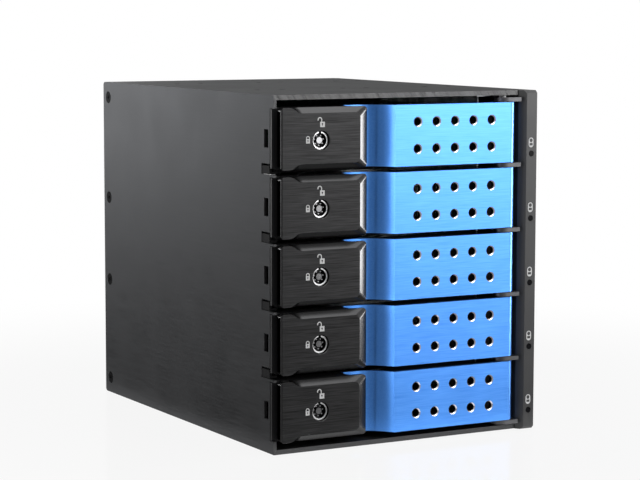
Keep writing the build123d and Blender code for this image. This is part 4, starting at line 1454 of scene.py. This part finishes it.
@dataclass(frozen=True)
class Card:
    """Grey card that only the object's reflections see.

    It lies between two corners, is turned in degrees about a point at the object's front, and
    keeps a share of its width at its rear edge. Nothing closer than its blind range sees it.
    """

    name: str
    low: Triple
    high: Triple
    grey: float
    turn: float = 0.0
    rear: float = 1.0
    pivot: Triple = (-0.01, -0.087, 0.0)
    blind: float = 0.02

    def build(self) -> None:
        """Set up the card."""
        card = slab(Vector(self.low), Vector(self.high))
        for vertex in card.data.vertices:
            if vertex.co.y > (self.low[1] + self.high[1]) / 2:
                vertex.co.x *= self.rear
        turn = Matrix.Rotation(math.radians(self.turn), 4, "Z")
        card.data.transform(Matrix.Translation(self.pivot) @ turn)
        card.name = self.name
        shader = StageShader(self.name)
        tone = shader.add("ShaderNodeEmission", (self.grey, self.grey, self.grey, 1.0)).outputs[0]
        glass = shader.add("ShaderNodeBsdfTransparent").outputs[0]
        length = shader.add("ShaderNodeLightPath").outputs["Ray Length"]
        shader.mix(shader.maths("GREATER_THAN", length, self.blind), glass, tone)
        card.data.materials.append(shader.material)
        card.visible_camera = False
        card.visible_diffuse = False
        card.visible_shadow = False


@dataclass
class Studio:
    """Pale floor, soft lamps, grey cards and the camera."""

    camera_place: Triple = (-0.46282, -0.84016, 0.18096)
    azimuth: float = -29.17
    elevation: float = 6.21
    roll: float = 0.11
    lens: float = 120.44
    sensor: float = 36.0
    sight: float = 50.0
    world_light: float = 0.4
    floor_size: float = 40.0
    floor_grey: float = 0.4
    floor_roughness: float = 0.12
    floor_mirror: float = 0.4
    floor_fade: tuple[float, float, float, float] = (0.15, 0.4, 0.92, 1.0)
    lamps: tuple[Lamp, ...] = (
        Lamp("right_box", (0.64, -0.88, 0.32), (0.02, -0.088, 0.1), (0.6, 0.5), 4.4),
        Lamp("overhead", (-0.1, -0.1, 1.3), (0.0, 0.0, 0.0), (1.4, 1.4), 4.0),
        Lamp("top_front", (0.2, -0.42, 1.0), (-0.02, -0.08, 0.1), (1.0, 0.45), 2.4),
        Lamp("left_back", (-0.4, 1.2, 0.19), (-0.06, 0.0, 0.1), (0.6, 0.34), 5.5),
        Lamp("left_low", (-0.975, -0.15, 0.12), (0.0, -0.085, 0.08), (0.24, 0.22), 1.3),
        Lamp("right_strip", (0.4, -0.135, 0.125), (-0.02, -0.087, 0.1), (0.08, 0.24), 1.0),
    )
    cards: tuple[Card, ...] = (
        Card("camera_side", (-0.64, -1.27, 0.0), (0.64, -1.25, 0.9), 0.3, -40.0),
        Card("floor_front", (-0.63, -1.24, 0.0005), (0.63, -0.02, 0.001), 0.3, -40.0, 0.06),
        Card("floor_right", (-0.36, -0.7, 0.0015), (0.36, -0.02, 0.002), 0.25, 32.0, 0.2),
        Card("floor_left", (-3.0, 0.0, 0.0005), (-0.058, 5.0, 0.001), 0.02),
        Card("back_right", (0.45, 0.06, 0.0), (0.46, 1.3, 0.9), 0.45),
    )

    def camera(self) -> None:
        """Set the camera at the photograph's viewpoint."""
        data = bpy.data.cameras.new("camera")
        data.lens = self.lens
        data.sensor_width = self.sensor
        data.clip_end = self.sight
        camera = bpy.data.objects.new("camera", data)
        bpy.context.scene.collection.objects.link(camera)
        a, e = math.radians(self.azimuth), math.radians(self.elevation)
        back = Vector((math.sin(a) * math.cos(e), -math.cos(a) * math.cos(e), math.sin(e)))
        turn = (-back).to_track_quat("-Z", "Y").to_matrix().to_4x4()
        roll = Matrix.Rotation(math.radians(self.roll), 4, "Z")
        camera.matrix_world = Matrix.Translation(self.camera_place) @ turn @ roll
        bpy.context.scene.camera = camera

    @staticmethod
    def _seen(graph: NodeGraph) -> NodeSocket:
        """Return a mask that is 1 for camera, glossy and transmission rays.

        Args:
            graph: The graph to add it to.

        Returns:
            The mask.
        """
        path = graph.add("ShaderNodeLightPath").outputs
        sight = graph.maths("MAXIMUM", path["Is Camera Ray"], path["Is Glossy Ray"])
        return graph.maths("MAXIMUM", sight, path["Is Transmission Ray"])

    def world(self) -> None:
        """Set a soft grey world that is white where it is seen."""
        world = bpy.data.worlds.new("studio")
        bpy.context.scene.world = world
        world.use_nodes = True
        graph = NodeGraph(world.node_tree)
        background = world.node_tree.nodes["Background"].inputs
        graph.join((1.0, 1.0, 1.0, 1.0), background["Color"])
        graph.join(graph.span(self._seen(graph), self.world_light, 1.0), background["Strength"])

    def floor(self) -> None:
        """Lay the floor: white far away, with the object's shadow and a faint mirror image near it."""
        deselect()
        bpy.ops.mesh.primitive_plane_add(size=self.floor_size, location=(0, 0, 0))
        floor = bpy.context.object
        floor.name = "floor"
        shader = StageShader("floor_white")
        grey = self.floor_grey
        matt = shader.add("ShaderNodeBsdfDiffuse", (grey, grey, grey, 1.0)).outputs[0]
        white = shader.add("ShaderNodeEmission").outputs[0]
        gloss = shader.add("ShaderNodeBsdfGlossy")
        shader.join(self.floor_roughness, gloss.inputs["Roughness"])
        place = shader.add("ShaderNodeTexCoord").outputs["Object"]
        length = shader.add("ShaderNodeVectorMath", place, operation="LENGTH").outputs["Value"]
        fade = {"interpolation_type": "SMOOTHSTEP"}
        far = shader.add("ShaderNodeMapRange", length, *self.floor_fade, **fade).outputs[0]
        lit = shader.mix(shader.maths("MULTIPLY", self._seen(shader), far), matt, white)
        shader.mix(shader.span(far, self.floor_mirror, 0.0), lit, gloss.outputs[0])
        floor.data.materials.append(shader.material)

    def build(self) -> None:
        """Set up camera, world, floor, lamps and cards."""
        self.camera()
        self.world()
        self.floor()
        for item in (*self.lamps, *self.cards):
            item.build()
        bpy.context.scene.view_settings.view_transform = "Standard"


class Cage:
    """The drive cage's own solids, dressed by the record's slots."""

    def __init__(self, frame: dict[str, Any]) -> None:
        self.nodes = frame["nodes"]
        self.slots = {entry["node"]: entry["material_slot"] for entry in frame["record"]["subparts"]}

    def dress(self, rack: FinishRack) -> None:
        """Give every node its finish.

        Args:
            rack: The finishes.
        """
        for name, node in self.nodes.items():
            for slot in node.material_slots:
                slot.material = rack.materials[self.slots[name]]
            LOG.info("node %s takes %s", name, self.slots[name])


def main() -> None:
    """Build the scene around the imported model."""
    logging.basicConfig(level=logging.INFO, format="%(name)s: %(message)s")
    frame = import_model()
    rack = FinishRack()
    Cage(frame).dress(rack)
    for fitting in (Screws, Signs, LockPins, FacePlates, LatchSprings, Contacts, FanLabel):
        fitting(rack).build()
    Studio().build()


if __name__ == "__main__":
    main()
